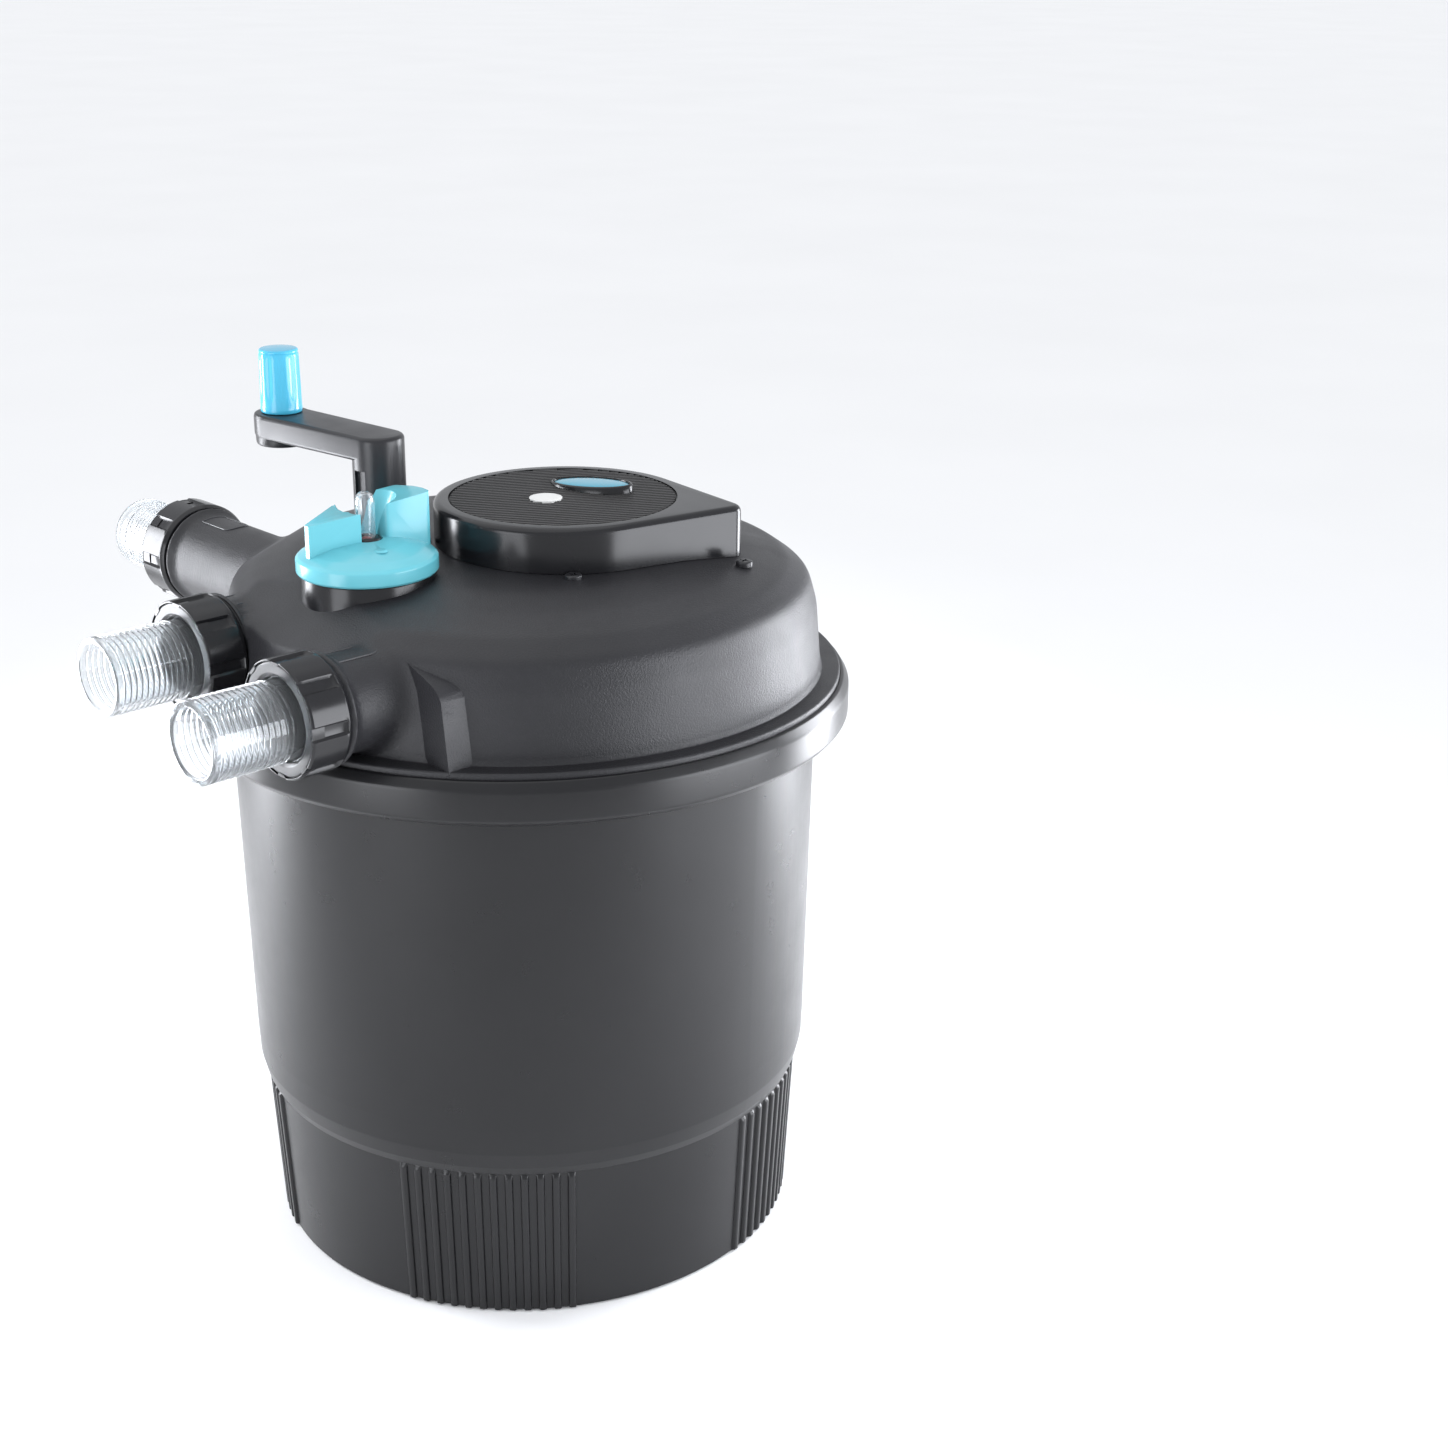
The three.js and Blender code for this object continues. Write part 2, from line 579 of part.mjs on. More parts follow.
const meshTurn = radians(CRANK_AZIMUTH) + Math.PI + Math.PI / PINION_TEETH;
piece(crank, 'drive_pinion', pinion.rotateZ(meshTurn), white);

// ---------------------------------------------------------------- foam pack

const pack = group(filter);
const TIE_RODS = 3;
const tieRod = rod(4, PLATE_BOTTOM + 1, TOP_PLATE + PLATE_THICK - 1, 12).translate(TIE_ROD_RING, 0, 0);
const tieHole = rod(4 + GAP, 0, 400, 12).translate(TIE_ROD_RING, 0, 0);
const plateWindow = block(62, 130, -14, 14, 0, 400);

const bottomDisc = ring(TUBE_IN, PLATE_R, PLATE_BOTTOM, PLATE_BOTTOM + PLATE_THICK, BIG_ROUND);
const bottomPlate = cut(
  bottomDisc, ...around(tieHole, TIE_RODS), ...around(plateWindow, 6, radians(30)),
);
piece(pack, 'pack_bottom_plate', bottomPlate, blackMatte);

const topDisc = ring(TUBE_IN, PLATE_R, TOP_PLATE, TOP_PLATE + PLATE_THICK, BIG_ROUND);
const gear = prism(gearShape(GEAR_TEETH, 50), TOP_PLATE + 1, GEAR_TOP, 0, 12)
  .rotateZ(radians(CRANK_AZIMUTH));
const topPlate = cut(
  topDisc,
  ...around(tieHole, TIE_RODS),
  ...around(block(84, 136, -14, 14, 0, 400), 6, radians(30)),
);
piece(pack, 'pack_top_plate', join(topPlate, gear), blackMatte);

const tubeBottom = PLATE_BOTTOM + PLATE_THICK + GAP;
const tubeTop = TOP_PLATE - GAP;
const slot = block(20, 40, -6, 6, 0, 70);
const slots = [40, 135, 230].flatMap((z) => around(slot.clone().translate(0, 0, z), 4));
piece(pack, 'centre_tube', cut(ring(TUBE_IN, TUBE_OUT, tubeBottom, tubeTop), ...slots), blackMatte);

around(tieRod, TIE_RODS).forEach((geometry, i) => {
  piece(pack, `tie_rod_${i + 1}`, geometry, steel);
});

const foamSpace = tubeTop - tubeBottom;
const foamPitch = foamSpace / FOAM_RINGS;
for (let i = 0; i < FOAM_RINGS; i += 1) {
  const bottom = tubeBottom + i * foamPitch;
  const foam = ring(TUBE_OUT + GAP, FOAM_R, bottom, bottom + foamPitch - GAP);
  piece(pack, `foam_ring_${i + 1}`, foam, i % 2 ? foamRed : foamBlue);
}

// ---------------------------------------------------------------- hose tails and union nuts

const TAIL_FLANGE_R = 30.4;
const RETAINER_IN = 23.8; // just clear of the hose tail, which stays still as the nut turns
const RETAINER_OUT = 31.8;
const tailStart = SPIGOT_END + 2.6;
const flangeFront = tailStart + 3;
const tailEnd = NUT_LENGTH + TAIL_REACH;

const tailSection = [
  [TAIL_BORE_R, tailStart], [TAIL_FLANGE_R, tailStart], [TAIL_FLANGE_R, flangeFront],
  [TAIL_R, flangeFront], [TAIL_R, tailEnd], [TAIL_BORE_R, tailEnd],
  [TAIL_BORE_R, tailStart],
];
const nutSection = [
  [TUBE_R + 0.6, 0], [NUT_R - 2, 0], [NUT_R, 2], [NUT_R, NUT_LENGTH],
  [RETAINER_OUT + GAP, NUT_LENGTH], [RETAINER_OUT + GAP, SPIGOT_END + 2],
  [TUBE_R + 0.6, SPIGOT_END + 2], [TUBE_R + 0.6, 0],
];
const NUT_GROOVES = 8;
const nutGroove = block(NUT_R - 2, NUT_R + 2, -3.5, 3.5, 4, NUT_LENGTH + 2);
const nutSolid = cut(revolve(nutSection, MID_ROUND), ...around(nutGroove, NUT_GROOVES));

ports.forEach((port) => {
  const place = group(filter, port.position, port.turn);
  piece(place, `port_seal_${port.number}`, ring(24, 27.4, SPIGOT_END + GAP, tailStart - GAP), rubber);
  piece(place, `hosetail_${port.number}`, revolve(tailSection, MID_ROUND), clear);
  piece(place, `union_nut_${port.number}`, nutSolid, blackGloss);
  const retainer = ring(RETAINER_IN, RETAINER_OUT, flangeFront + GAP, NUT_LENGTH - 0.4, MID_ROUND);
  piece(place, `retainer_ring_${port.number}`, retainer, black);
});

export default filter;
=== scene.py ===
"""A pressurised pond filter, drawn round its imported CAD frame.

Lengths in the piece functions are millimetres (mm) until a mesh is made; Blender objects are in metres.
The frame's own axes: +Z up, origin at the centre of the base, ports 1 and 2 along -X, port 3 along +Y.
"""

import math

import bmesh
import bpy
from mathutils import Matrix, Vector


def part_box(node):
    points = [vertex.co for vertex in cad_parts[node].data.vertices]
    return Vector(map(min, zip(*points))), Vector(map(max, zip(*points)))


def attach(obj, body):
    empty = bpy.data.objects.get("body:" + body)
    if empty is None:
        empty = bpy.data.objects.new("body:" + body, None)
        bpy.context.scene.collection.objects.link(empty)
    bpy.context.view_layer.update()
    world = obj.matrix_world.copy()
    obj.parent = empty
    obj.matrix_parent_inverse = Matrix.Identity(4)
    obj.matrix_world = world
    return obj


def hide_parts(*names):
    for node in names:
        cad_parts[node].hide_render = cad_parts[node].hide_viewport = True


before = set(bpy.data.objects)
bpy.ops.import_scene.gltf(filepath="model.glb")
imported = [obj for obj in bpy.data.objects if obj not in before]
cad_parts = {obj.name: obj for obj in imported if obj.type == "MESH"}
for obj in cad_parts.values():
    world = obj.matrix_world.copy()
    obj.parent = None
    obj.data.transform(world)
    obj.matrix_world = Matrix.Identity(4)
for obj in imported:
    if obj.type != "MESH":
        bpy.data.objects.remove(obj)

MM = 0.001
scene = bpy.context.scene
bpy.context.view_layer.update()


def size_of(node):
    """Lowest and highest corner of a CAD node, in mm."""
    low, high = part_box(node)
    return low / MM, high / MM


# ------------------------------------------------------------------ camera

CAMERA_AZIMUTH = math.radians(-128.4)  # where the camera stands, seen from the drum's axis
CAMERA_DISTANCE = 1.32505  # metres, as is the height
CAMERA_HEIGHT = 0.80516
AIM_AZIMUTH = math.radians(46.264)
AIM_DOWN = math.radians(20.23)
CAMERA_ROLL = math.radians(0.532)
LENS = 55.98  # mm
SENSOR_WIDTH = 36  # mm


def make_camera():
    data = bpy.data.cameras.new("camera")
    data.lens = LENS
    data.sensor_width = SENSOR_WIDTH
    camera = bpy.data.objects.new("camera", data)
    scene.collection.objects.link(camera)
    level = Vector((math.cos(AIM_AZIMUTH), math.sin(AIM_AZIMUTH), 0))
    forward = level * math.cos(AIM_DOWN) - Vector((0, 0, math.sin(AIM_DOWN)))
    right = forward.cross(Vector((0, 0, 1))).normalized()
    up = right.cross(forward)
    rolled_right = right * math.cos(CAMERA_ROLL) + up * math.sin(CAMERA_ROLL)
    rolled_up = up * math.cos(CAMERA_ROLL) - right * math.sin(CAMERA_ROLL)
    facing = Matrix((rolled_right, rolled_up, -forward)).transposed().to_4x4()
    place = Vector((
        CAMERA_DISTANCE * math.cos(CAMERA_AZIMUTH),
        CAMERA_DISTANCE * math.sin(CAMERA_AZIMUTH),
        CAMERA_HEIGHT,
    ))
    camera.matrix_world = Matrix.Translation(place) @ facing
    scene.camera = camera


make_camera()

# ------------------------------------------------------------------ materials

NOISE_LOW, NOISE_HIGH = 0.3, 0.7  # a noise value mostly stays between these
PLASTIC_IOR = 1.42
COAT_ROUGHNESS = 0.08


class Nodes:
    """A new node material with its shader at hand, and short ways to add the nodes it needs."""

    def __init__(self, name):
        self.material = bpy.data.materials.new(name)
        self.material.use_nodes = True
        self.tree = self.material.node_tree
        self.shader = self.tree.nodes["Principled BSDF"]
        self.place = self.tree.nodes.new("ShaderNodeTexCoord").outputs["Object"]
        self.last_bump = None

    def add(self, kind, **values):
        node = self.tree.nodes.new(kind)
        for key, value in values.items():
            setattr(node, key, value)
        return node

    def link(self, output, target):
        self.tree.links.new(output, target)

    def noise(self, scale, detail=3.0, roughness=0.5):
        node = self.add("ShaderNodeTexNoise")
        node.inputs["Scale"].default_value = scale
        node.inputs["Detail"].default_value = detail
        node.inputs["Roughness"].default_value = roughness
        self.link(self.place, node.inputs["Vector"])
        return node.outputs["Fac"]

    def colours(self, value, dark, light):
        ramp = self.add("ShaderNodeValToRGB")
        ramp.color_ramp.elements[0].position = NOISE_LOW
        ramp.color_ramp.elements[1].position = NOISE_HIGH
        ramp.color_ramp.elements[0].color = (*dark, 1)
        ramp.color_ramp.elements[1].color = (*light, 1)
        self.link(value, ramp.inputs["Fac"])
        self.link(ramp.outputs["Color"], self.shader.inputs["Base Color"])

    def spread(self, value, low, high, socket):
        ranged = self.add("ShaderNodeMapRange")
        ranged.inputs["From Min"].default_value = NOISE_LOW
        ranged.inputs["From Max"].default_value = NOISE_HIGH
        ranged.inputs["To Min"].default_value = low
        ranged.inputs["To Max"].default_value = high
        self.link(value, ranged.inputs["Value"])
        self.link(ranged.outputs["Result"], self.shader.inputs[socket])

    def bump(self, value, strength, distance):
        node = self.add("ShaderNodeBump")
        node.inputs["Strength"].default_value = strength
        node.inputs["Distance"].default_value = distance
        self.link(value, node.inputs["Height"])
        if self.last_bump is not None:
            self.link(self.last_bump, node.inputs["Normal"])
        self.last_bump = node.outputs["Normal"]
        self.link(self.last_bump, self.shader.inputs["Normal"])


def moulded(name, dark, light, rough, grain=0.0, grain_scale=1400.0, coat=0.0):
    """Moulded plastic: faint flow mottling, roughness that varies, and a surface grain."""
    nodes = Nodes(name)
    nodes.colours(nodes.noise(9.0, 4.0), dark, light)
    nodes.spread(nodes.noise(38.0, 5.0, 0.6), rough[0], rough[1], "Roughness")
    nodes.bump(nodes.noise(55.0, 2.0), 0.06, 0.0004)
    if grain:
        nodes.bump(nodes.noise(grain_scale, 2.0, 0.7), grain, 0.0004)
    nodes.shader.inputs["IOR"].default_value = PLASTIC_IOR
    nodes.shader.inputs["Coat Weight"].default_value = coat
    nodes.shader.inputs["Coat Roughness"].default_value = COAT_ROUGHNESS
    return nodes.material


def see_through(name, tint, rough, weight, ior):
    """Clear plastic or glass, with a faint tint; a greyer tint is partly painted reflection of the dark
    things seen through it.
    """
    nodes = Nodes(name)
    pale = tuple(min(1.0, c * 1.04) for c in tint)
    nodes.colours(nodes.noise(30.0), tint, pale)
    nodes.spread(nodes.noise(120.0, 3.0), rough[0], rough[1], "Roughness")
    nodes.bump(nodes.noise(60.0, 1.0), 0.02, 0.0003)
    nodes.shader.inputs["Transmission Weight"].default_value = weight
    nodes.shader.inputs["IOR"].default_value = ior
    return nodes.material


def metal(name, dark, light, rough):
    """Bare steel, with a fine uneven surface and roughness that varies."""
    nodes = Nodes(name)
    nodes.colours(nodes.noise(60.0, 4.0), dark, light)
    nodes.spread(nodes.noise(240.0, 6.0, 0.7), rough[0], rough[1], "Roughness")
    nodes.bump(nodes.noise(700.0, 4.0), 0.1, 0.0001)
    nodes.shader.inputs["Metallic"].default_value = 1.0
    return nodes.material


def foam_material(name, dark, light):
    """Open-cell foam: round pores between thin struts, with painted shade darkening each pore."""
    nodes = Nodes(name)
    cells = nodes.add("ShaderNodeTexVoronoi", feature="F1")
    cells.inputs["Scale"].default_value = 320.0
    nodes.link(nodes.place, cells.inputs["Vector"])
    # colour runs from dark in the middle of each cell to light at its edge: painted shade in the pores
    nodes.colours(cells.outputs["Distance"], dark, light)
    nodes.bump(cells.outputs["Distance"], 0.9, 0.002)
    nodes.spread(nodes.noise(40.0), 0.88, 1.0, "Roughness")
    return nodes.material


DRUM_BLACK = moulded("drum_black", (0.006, 0.006, 0.007), (0.009, 0.009, 0.010), (0.27, 0.33), 0.05, 900)
MATTE_BLACK = moulded("matte_black", (0.013, 0.013, 0.015), (0.022, 0.022, 0.025), (0.38, 0.46), 0.8, 900)
LABEL_GREY = moulded("label_grey", (0.05, 0.05, 0.055), (0.07, 0.07, 0.075), (0.25, 0.32))
GLOSS_BLACK = moulded("gloss_black", (0.008, 0.008, 0.009), (0.012, 0.012, 0.014), (0.17, 0.23))
SATIN_BLACK = moulded("satin_black", (0.014, 0.014, 0.016), (0.021, 0.021, 0.024), (0.28, 0.36), 0.12, 900)
GRILLE_BLACK = moulded("grille_black", (0.040, 0.039, 0.039), (0.055, 0.053, 0.053), (0.36, 0.44), 0.3, 900)
DIAL_CYAN = moulded("dial_cyan", (0.115, 0.46, 0.54), (0.145, 0.51, 0.59), (0.20, 0.27), coat=0.2)
GRIP_CYAN = moulded("grip_cyan", (0.055, 0.41, 0.61), (0.075, 0.46, 0.67), (0.18, 0.25), coat=0.3)
BADGE_CYAN = moulded("badge_cyan", (0.05, 0.33, 0.46), (0.065, 0.38, 0.52), (0.18, 0.24), coat=0.4)
WHITE = moulded("white_plastic", (0.74, 0.74, 0.72), (0.80, 0.80, 0.78), (0.25, 0.34), coat=0.2)
RED = moulded("red_plastic", (0.50, 0.02, 0.015), (0.58, 0.03, 0.02), (0.26, 0.34))
RUBBER = moulded("rubber", (0.010, 0.010, 0.010), (0.018, 0.018, 0.018), (0.62, 0.78), 0.4, 1500)
# the clear plastic's grey tint is partly its own and partly painted reflection of the dark parts seen
# through it
CLEAR = see_through("clear_plastic", (0.86, 0.89, 0.91), (0.02, 0.06), 0.94, 1.46)
QUARTZ = see_through("quartz", (0.96, 0.97, 0.98), (0.01, 0.03), 1.0, 1.45)
STEEL = metal("steel", (0.50, 0.51, 0.53), (0.62, 0.63, 0.65), (0.22, 0.36))
# the darker colour of each foam is the painted shade in its pores
FOAM_BLUE = foam_material("foam_blue", (0.03, 0.10, 0.22), (0.09, 0.24, 0.42))
FOAM_RED = foam_material("foam_red", (0.22, 0.05, 0.03), (0.42, 0.13, 0.09))

# ------------------------------------------------------------------ mesh helpers

FULL_TURN = 2 * math.pi


def outline(corners, steps=5):
    """Points round a closed outline. A corner is (a, b) or (a, b, radius), which rounds it."""
    points = []
    count = len(corners)
    for i, corner in enumerate(corners):
        here = Vector(corner[:2])
        before = Vector(corners[i - 1][:2]) - here
        after = Vector(corners[(i + 1) % count][:2]) - here
        if len(corner) < 3 or before.length < 1e-6 or after.length < 1e-6:
            points.append(here)
            continue
        half = before.angle(after) / 2
        reach = min(corner[2] / math.tan(half), 0.49 * before.length, 0.49 * after.length)
        start = here + before.normalized() * reach
        end = here + after.normalized() * reach
        for k in range(steps + 1):
            t = k / steps
            points.append(start * (1 - t) ** 2 + here * 2 * t * (1 - t) + end * t * t)
    return points


def even_angles(count, start=0.0):
    return [start + FULL_TURN * k / count for k in range(count)]


def lathe(profile, angles=96, bump=None):
    """A solid of revolution round Z, in mm. profile is a closed outline of (radius, height) points.
    bump(angle, radius, height) may move a point out or in along its radius."""
    if isinstance(angles, int):
        angles = even_angles(angles)
    mesh = bmesh.new()
    rows = []
    for radius, height in profile:
        if radius < 1e-4:
            rows.append([mesh.verts.new((0, 0, height))])
            continue
        row = []
        for angle in angles:
            r = radius + (bump(angle, radius, height) if bump else 0)
            row.append(mesh.verts.new((r * math.cos(angle), r * math.sin(angle), height)))
        rows.append(row)
    for low, high in zip(rows, rows[1:] + rows[:1]):
        for k in range(len(angles)):
            n = (k + 1) % len(angles)
            ring = [low[k % len(low)], low[n % len(low)], high[n % len(high)], high[k % len(high)]]
            corners = list(dict.fromkeys(ring))
            if len(corners) > 2:
                mesh.faces.new(corners)
    return mesh


def cylinder(radius, bottom, top, sides):
    return lathe([(0, bottom), (radius, bottom), (radius, top), (0, top)], sides)


def bridge(mesh, low, high):
    """Faces between two closed rows that have the same number of points."""
    for k in range(len(low)):
        n = (k + 1) % len(low)
        mesh.faces.new((low[k], low[n], high[n], high[k]))


def prism(points, bottom, top):
    """A straight solid over an outline of (x, y) points, in mm."""
    mesh = bmesh.new()
    lower = [mesh.verts.new((x, y, bottom)) for x, y in points]
    upper = [mesh.verts.new((x, y, top)) for x, y in points]
    mesh.faces.new(lower)
    mesh.faces.new(upper)
    bridge(mesh, lower, upper)
    return mesh


def box(x0, x1, y0, y1, z0, z1):
    return prism([(x0, y0), (x1, y0), (x1, y1), (x0, y1)], z0, z1)


def moved(mesh, *matrices):
    for matrix in matrices:
        bmesh.ops.transform(mesh, matrix=matrix, verts=mesh.verts)
    return mesh


def shift(x, y, z=0.0):
    return Matrix.Translation((x, y, z))


def turn(degrees, axis="Z"):
    return Matrix.Rotation(math.radians(degrees), 4, axis)


def merged(*meshes):
    """Several separate shells as one mesh."""
    whole = meshes[0]
    for other in meshes[1:]:
        data = bpy.data.meshes.new("part")
        other.to_mesh(data)
        other.free()
        whole.from_mesh(data)
        bpy.data.meshes.remove(data)
    return whole


def piece(name, mesh, material, sharp=32.0):
    """A shown object from a mesh in mm; edges steeper than sharp degrees stay crisp."""
    bmesh.ops.recalc_face_normals(mesh, faces=mesh.faces)
    bmesh.ops.scale(mesh, vec=(MM, MM, MM), verts=mesh.verts)
    data = bpy.data.meshes.new(name)
    mesh.to_mesh(data)
    mesh.free()
    obj = bpy.data.objects.new(name, data)
    scene.collection.objects.link(obj)
    data.materials.append(material)
    smooth_by_angle(obj, sharp)
    return obj


def smooth_by_angle(obj, degrees):
    data = obj.data
    work = bmesh.new()
    work.from_mesh(data)
    limit = math.radians(degrees)
    for face in work.faces:
        face.smooth = True
    for edge in work.edges:
        edge.smooth = len(edge.link_faces) == 2 and edge.calc_face_angle(0) < limit
    work.to_mesh(data)
    work.free()


def apply_modifiers(obj):
    bpy.context.view_layer.update()
    graph = bpy.context.evaluated_depsgraph_get()
    data = bpy.data.meshes.new_from_object(obj.evaluated_get(graph))
    obj.modifiers.clear()
    old = obj.data
    obj.data = data
    bpy.data.meshes.remove(old)


def as_tool(obj):
    """The object's mesh, back in mm, to join or cut with. The object itself is removed."""
    mesh = bmesh.new()
    mesh.from_mesh(obj.data)
    bmesh.ops.scale(mesh, vec=(1 / MM,) * 3, verts=mesh.verts)
    bpy.data.objects.remove(obj)
    return mesh


def boolean(obj, tool, operation):
    """Joins or cuts obj by a mesh in mm."""
    other = piece("tool", tool, obj.data.materials[0])
    modifier = obj.modifiers.new("boolean", "BOOLEAN")
    modifier.object = other
    modifier.operation = operation
    modifier.solver = "MANIFOLD"
    apply_modifiers(obj)
    bpy.data.objects.remove(other)


def rounded_edges(obj, width, segments=3, angle=35.0):
    modifier = obj.modifiers.new("bevel", "BEVEL")
    modifier.width = width * MM
    modifier.segments = segments
    modifier.limit_method = "ANGLE"
    modifier.angle_limit = math.radians(angle)
    modifier.use_clamp_overlap = True
    apply_modifiers(obj)
    smooth_by_angle(obj, 40)


def finished(obj, body, slot, *nodes):
    """Puts the piece on its body, in place of the CAD nodes it stands for. The slot argument is not used.
    """
    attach(obj, body)
    if nodes:
        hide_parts(*nodes)


def wire(name, points, radius, resolution, material):
    """A closed round wire through points in mm."""
    curve = bpy.data.curves.new(name, "CURVE")
    curve.dimensions = "3D"
    curve.bevel_depth = radius * MM
    curve.bevel_resolution = resolution
    spline = curve.splines.new("POLY")
    spline.points.add(len(points) - 1)
    for point, place in zip(spline.points, points):
        point.co = (*(place * MM), 1)
    spline.use_cyclic_u = True
    curve.materials.append(material)
    obj = bpy.data.objects.new(name, curve)
    scene.collection.objects.link(obj)
    return obj


# ------------------------------------------------------------------ drum

RIB_PITCH = 3.15  # degrees between ribs of a group
RIBS = 12
RIB_GROUPS = [221.2, 144.7, 297.6, 6.6, 75.8]  # azimuths of the groups' middles
RIB_PROUD = 1.8
RIB_SHAPE = [(-2.5, 0.0), (-2.0, 0.7), (-1.4, 0.97), (0.0, 1.0), (1.4, 0.97), (2.0, 0.7), (2.5, 0.0)]
RIB_CLEARANCE = 2.6  # the plain points of the round keep this far from a rib's middle
RIB_FADE = 2.5  # height over which a rib dies out at its top
BASE_R = 166.5  # mean radius of the ribbed wall
BASE_FOOT_R = 164
BASE_FLARE = 5.3  # how much wider the wall is at its top
BASE_TOP = 98.0
WALL_FROM_R = 163.5  # points further in belong to the floor and the inside
WALL_FROM = 1.0


def rib_angles():
    """Angles of a plain round, closer together where the ribs are."""
    ribs = [
        math.radians(middle + (i - (RIBS - 1) / 2) * RIB_PITCH) % FULL_TURN
        for middle in RIB_GROUPS for i in range(RIBS)
    ]
    clearance = RIB_CLEARANCE / BASE_R
    fine = {}
    for rib in ribs:
        for across, height in RIB_SHAPE:
            fine[(rib + across / BASE_R) % FULL_TURN] = height * RIB_PROUD
    for angle in even_angles(120):
        gap = min(abs((angle - rib + math.pi) % FULL_TURN - math.pi) for rib in ribs)
        if gap > clearance:
            fine[angle] = 0.0
    return fine


def make_drum():
    heights = rib_angles()

    def ribs(angle, radius, height):
        if radius < WALL_FROM_R or height > BASE_TOP or height < WALL_FROM:
            return 0.0
        return heights[angle] * min(1.0, (BASE_TOP - height) / RIB_FADE)

    wall_heights = (1.2, 12, 30, 50, 70, 88, 94, 95.5, 96.6, 97.4)
    base = [(BASE_FOOT_R + BASE_FLARE * z / BASE_TOP, z) for z in wall_heights]
    low = outline([(0, 0), (162.5, 0, 1.0), (BASE_FOOT_R, 1.2)], 3)
    edge = outline([
        (169.3, 97.8), (170.6, 98.6, 0.6), (173.0, 104, 5), (175.4, 114, 8), (176, 130, 12),
        (179.5, 327, 4), (196.4, 334, 1.2), (196.4, 344.3, 0.8),
        (191.4, 344.3), (191.4, 340), (186.6, 340), (186.6, 344.3), (176, 344.3), (175.8, 330),
        (172.6, 128), (168, 100), (161, 10), (152, 4), (0, 4),
    ], 5)
    drum = piece("drum", lathe([*low, *base, *edge], sorted(heights), ribs), DRUM_BLACK, 40)
    finished(drum, "drum", "drum_plastic", "drum_body")


# ------------------------------------------------------------------ clasp band

CLASP_AZIMUTH = 54.0
BAND_GAP = 12.0  # half of the split, along the rim
BAND_OUT = 200.0
CLASP_PIN_HOLE_R = 2.3
LINK_OUT = 213.5  # the link, out from the drum's axis


def make_band():
    half = math.asin(BAND_GAP / BAND_OUT)
    count = 180
    angles = [half + (FULL_TURN - 2 * half) * k / count for k in range(count + 1)]
    section = outline([
        (181.5, 331, 0.5), (197, 331, 2.2), (200, 334.5, 3), (200, 351.5, 4), (196.6, 357, 2.0),
        (194.6, 357, 0.3), (194.6, 344.6), (196.8, 344.6), (196.8, 333.7), (181.5, 333.7, 0.5),
    ], 5)
    mesh = bmesh.new()
    rows = [
        [mesh.verts.new((r * math.cos(a), r * math.sin(a), z)) for r, z in section] for a in angles
    ]
    for first, second in zip(rows, rows[1:]):
        bridge(mesh, first, second)
    mesh.faces.new(rows[0])
    mesh.faces.new(rows[-1])
    moved(mesh, turn(CLASP_AZIMUTH))
    band = piece("clasp_band_skin", mesh, DRUM_BLACK, 38)
    for tool in (
        box(197.5, 211, 14, 26, 333, 337), box(197.5, 211, 14, 26, 352, 355.5),
        box(197.5, 219, -24, -16, 340, 350),
    ):
        boolean(band, moved(tool, turn(CLASP_AZIMUTH)), "UNION")
    hole = cylinder(CLASP_PIN_HOLE_R, 325, 360, 24)
    boolean(band, moved(hole, shift(206, 20), turn(CLASP_AZIMUTH)), "DIFFERENCE")
    smooth_by_angle(band, 38)
    finished(band, "drum", "black_gloss", "clasp_band")


def make_lever():
    shape = outline([
        (201, 17, 4), (206, 14.5, 4), (211, 17, 4), (218, 29, 5), (218.5, 38, 6), (214, 62, 20),
        (205, 92, 3), (199.5, 91, 2), (207, 62, 20), (210, 42, 4), (206, 36, 6), (201, 23, 5),
    ], 5)
    lever = piece("lever_skin", moved(prism(shape, 337.4, 351.6), turn(CLASP_AZIMUTH)), GLOSS_BLACK)
    rounded_edges(lever, 1.2, 3)
    for x, y, r in ((206, 20, CLASP_PIN_HOLE_R), (LINK_OUT, 34, 2.6)):
        hole = cylinder(r, 325, 360, 24)
        boolean(lever, moved(hole, shift(x, y), turn(CLASP_AZIMUTH)), "DIFFERENCE")
    smooth_by_angle(lever, 38)
    finished(lever, "clasp_lever", "black_gloss", "clasp_lever")


def make_link():
    """The bent wire that the lever pulls against the hook."""
    corners = [(-27.5, 335, 4.5), (34, 335, 4.5), (34, 354, 4.5), (-27.5, 354, 4.5)]
    path = [
        turn(CLASP_AZIMUTH) @ Vector((LINK_OUT, along, height)) for along, height in outline(corners, 8)
    ]
    link = wire("link_wire", path, 1.5, 5, STEEL)
    finished(link, "clasp_link", "steel", "clasp_link")


# ------------------------------------------------------------------ ports

PORT_Z = 391.0
PORT_SPREAD = 63.0
PORT_3_X = -77.0
NUT_LENGTH = 26.0
NUT_FRONTS = [218.0, 202.0, 265.0]
SPIGOT_END = 16.0
TUBE_R = 28.0
BORE_R = 23
TUBE_STARTS = [150, 150, 140]  # where each tube begins inside the head, from the axis


def port_place(index):
    """The port's own frame: origin at the nut's back face, +Z outward."""
    back = NUT_FRONTS[index] - NUT_LENGTH
    if index == 2:
        return shift(PORT_3_X, back, PORT_Z) @ turn(-90, "X")
    return shift(-back, (2 * index - 1) * PORT_SPREAD, PORT_Z) @ turn(-90, "Y")


def tube_profile(index):
    """A port tube from inside the head to its threaded spigot."""
    root = TUBE_STARTS[index] - (NUT_FRONTS[index] - NUT_LENGTH)
    return outline([
        (0, root), (TUBE_R, root), (TUBE_R, -4.4, 1.0), (32.2, -3.8, 0.6), (32.2, -1.4, 0.6),
        (TUBE_R, -1), (TUBE_R, SPIGOT_END, 0.8), (0, SPIGOT_END),
    ], 3)


# ------------------------------------------------------------------ head shell

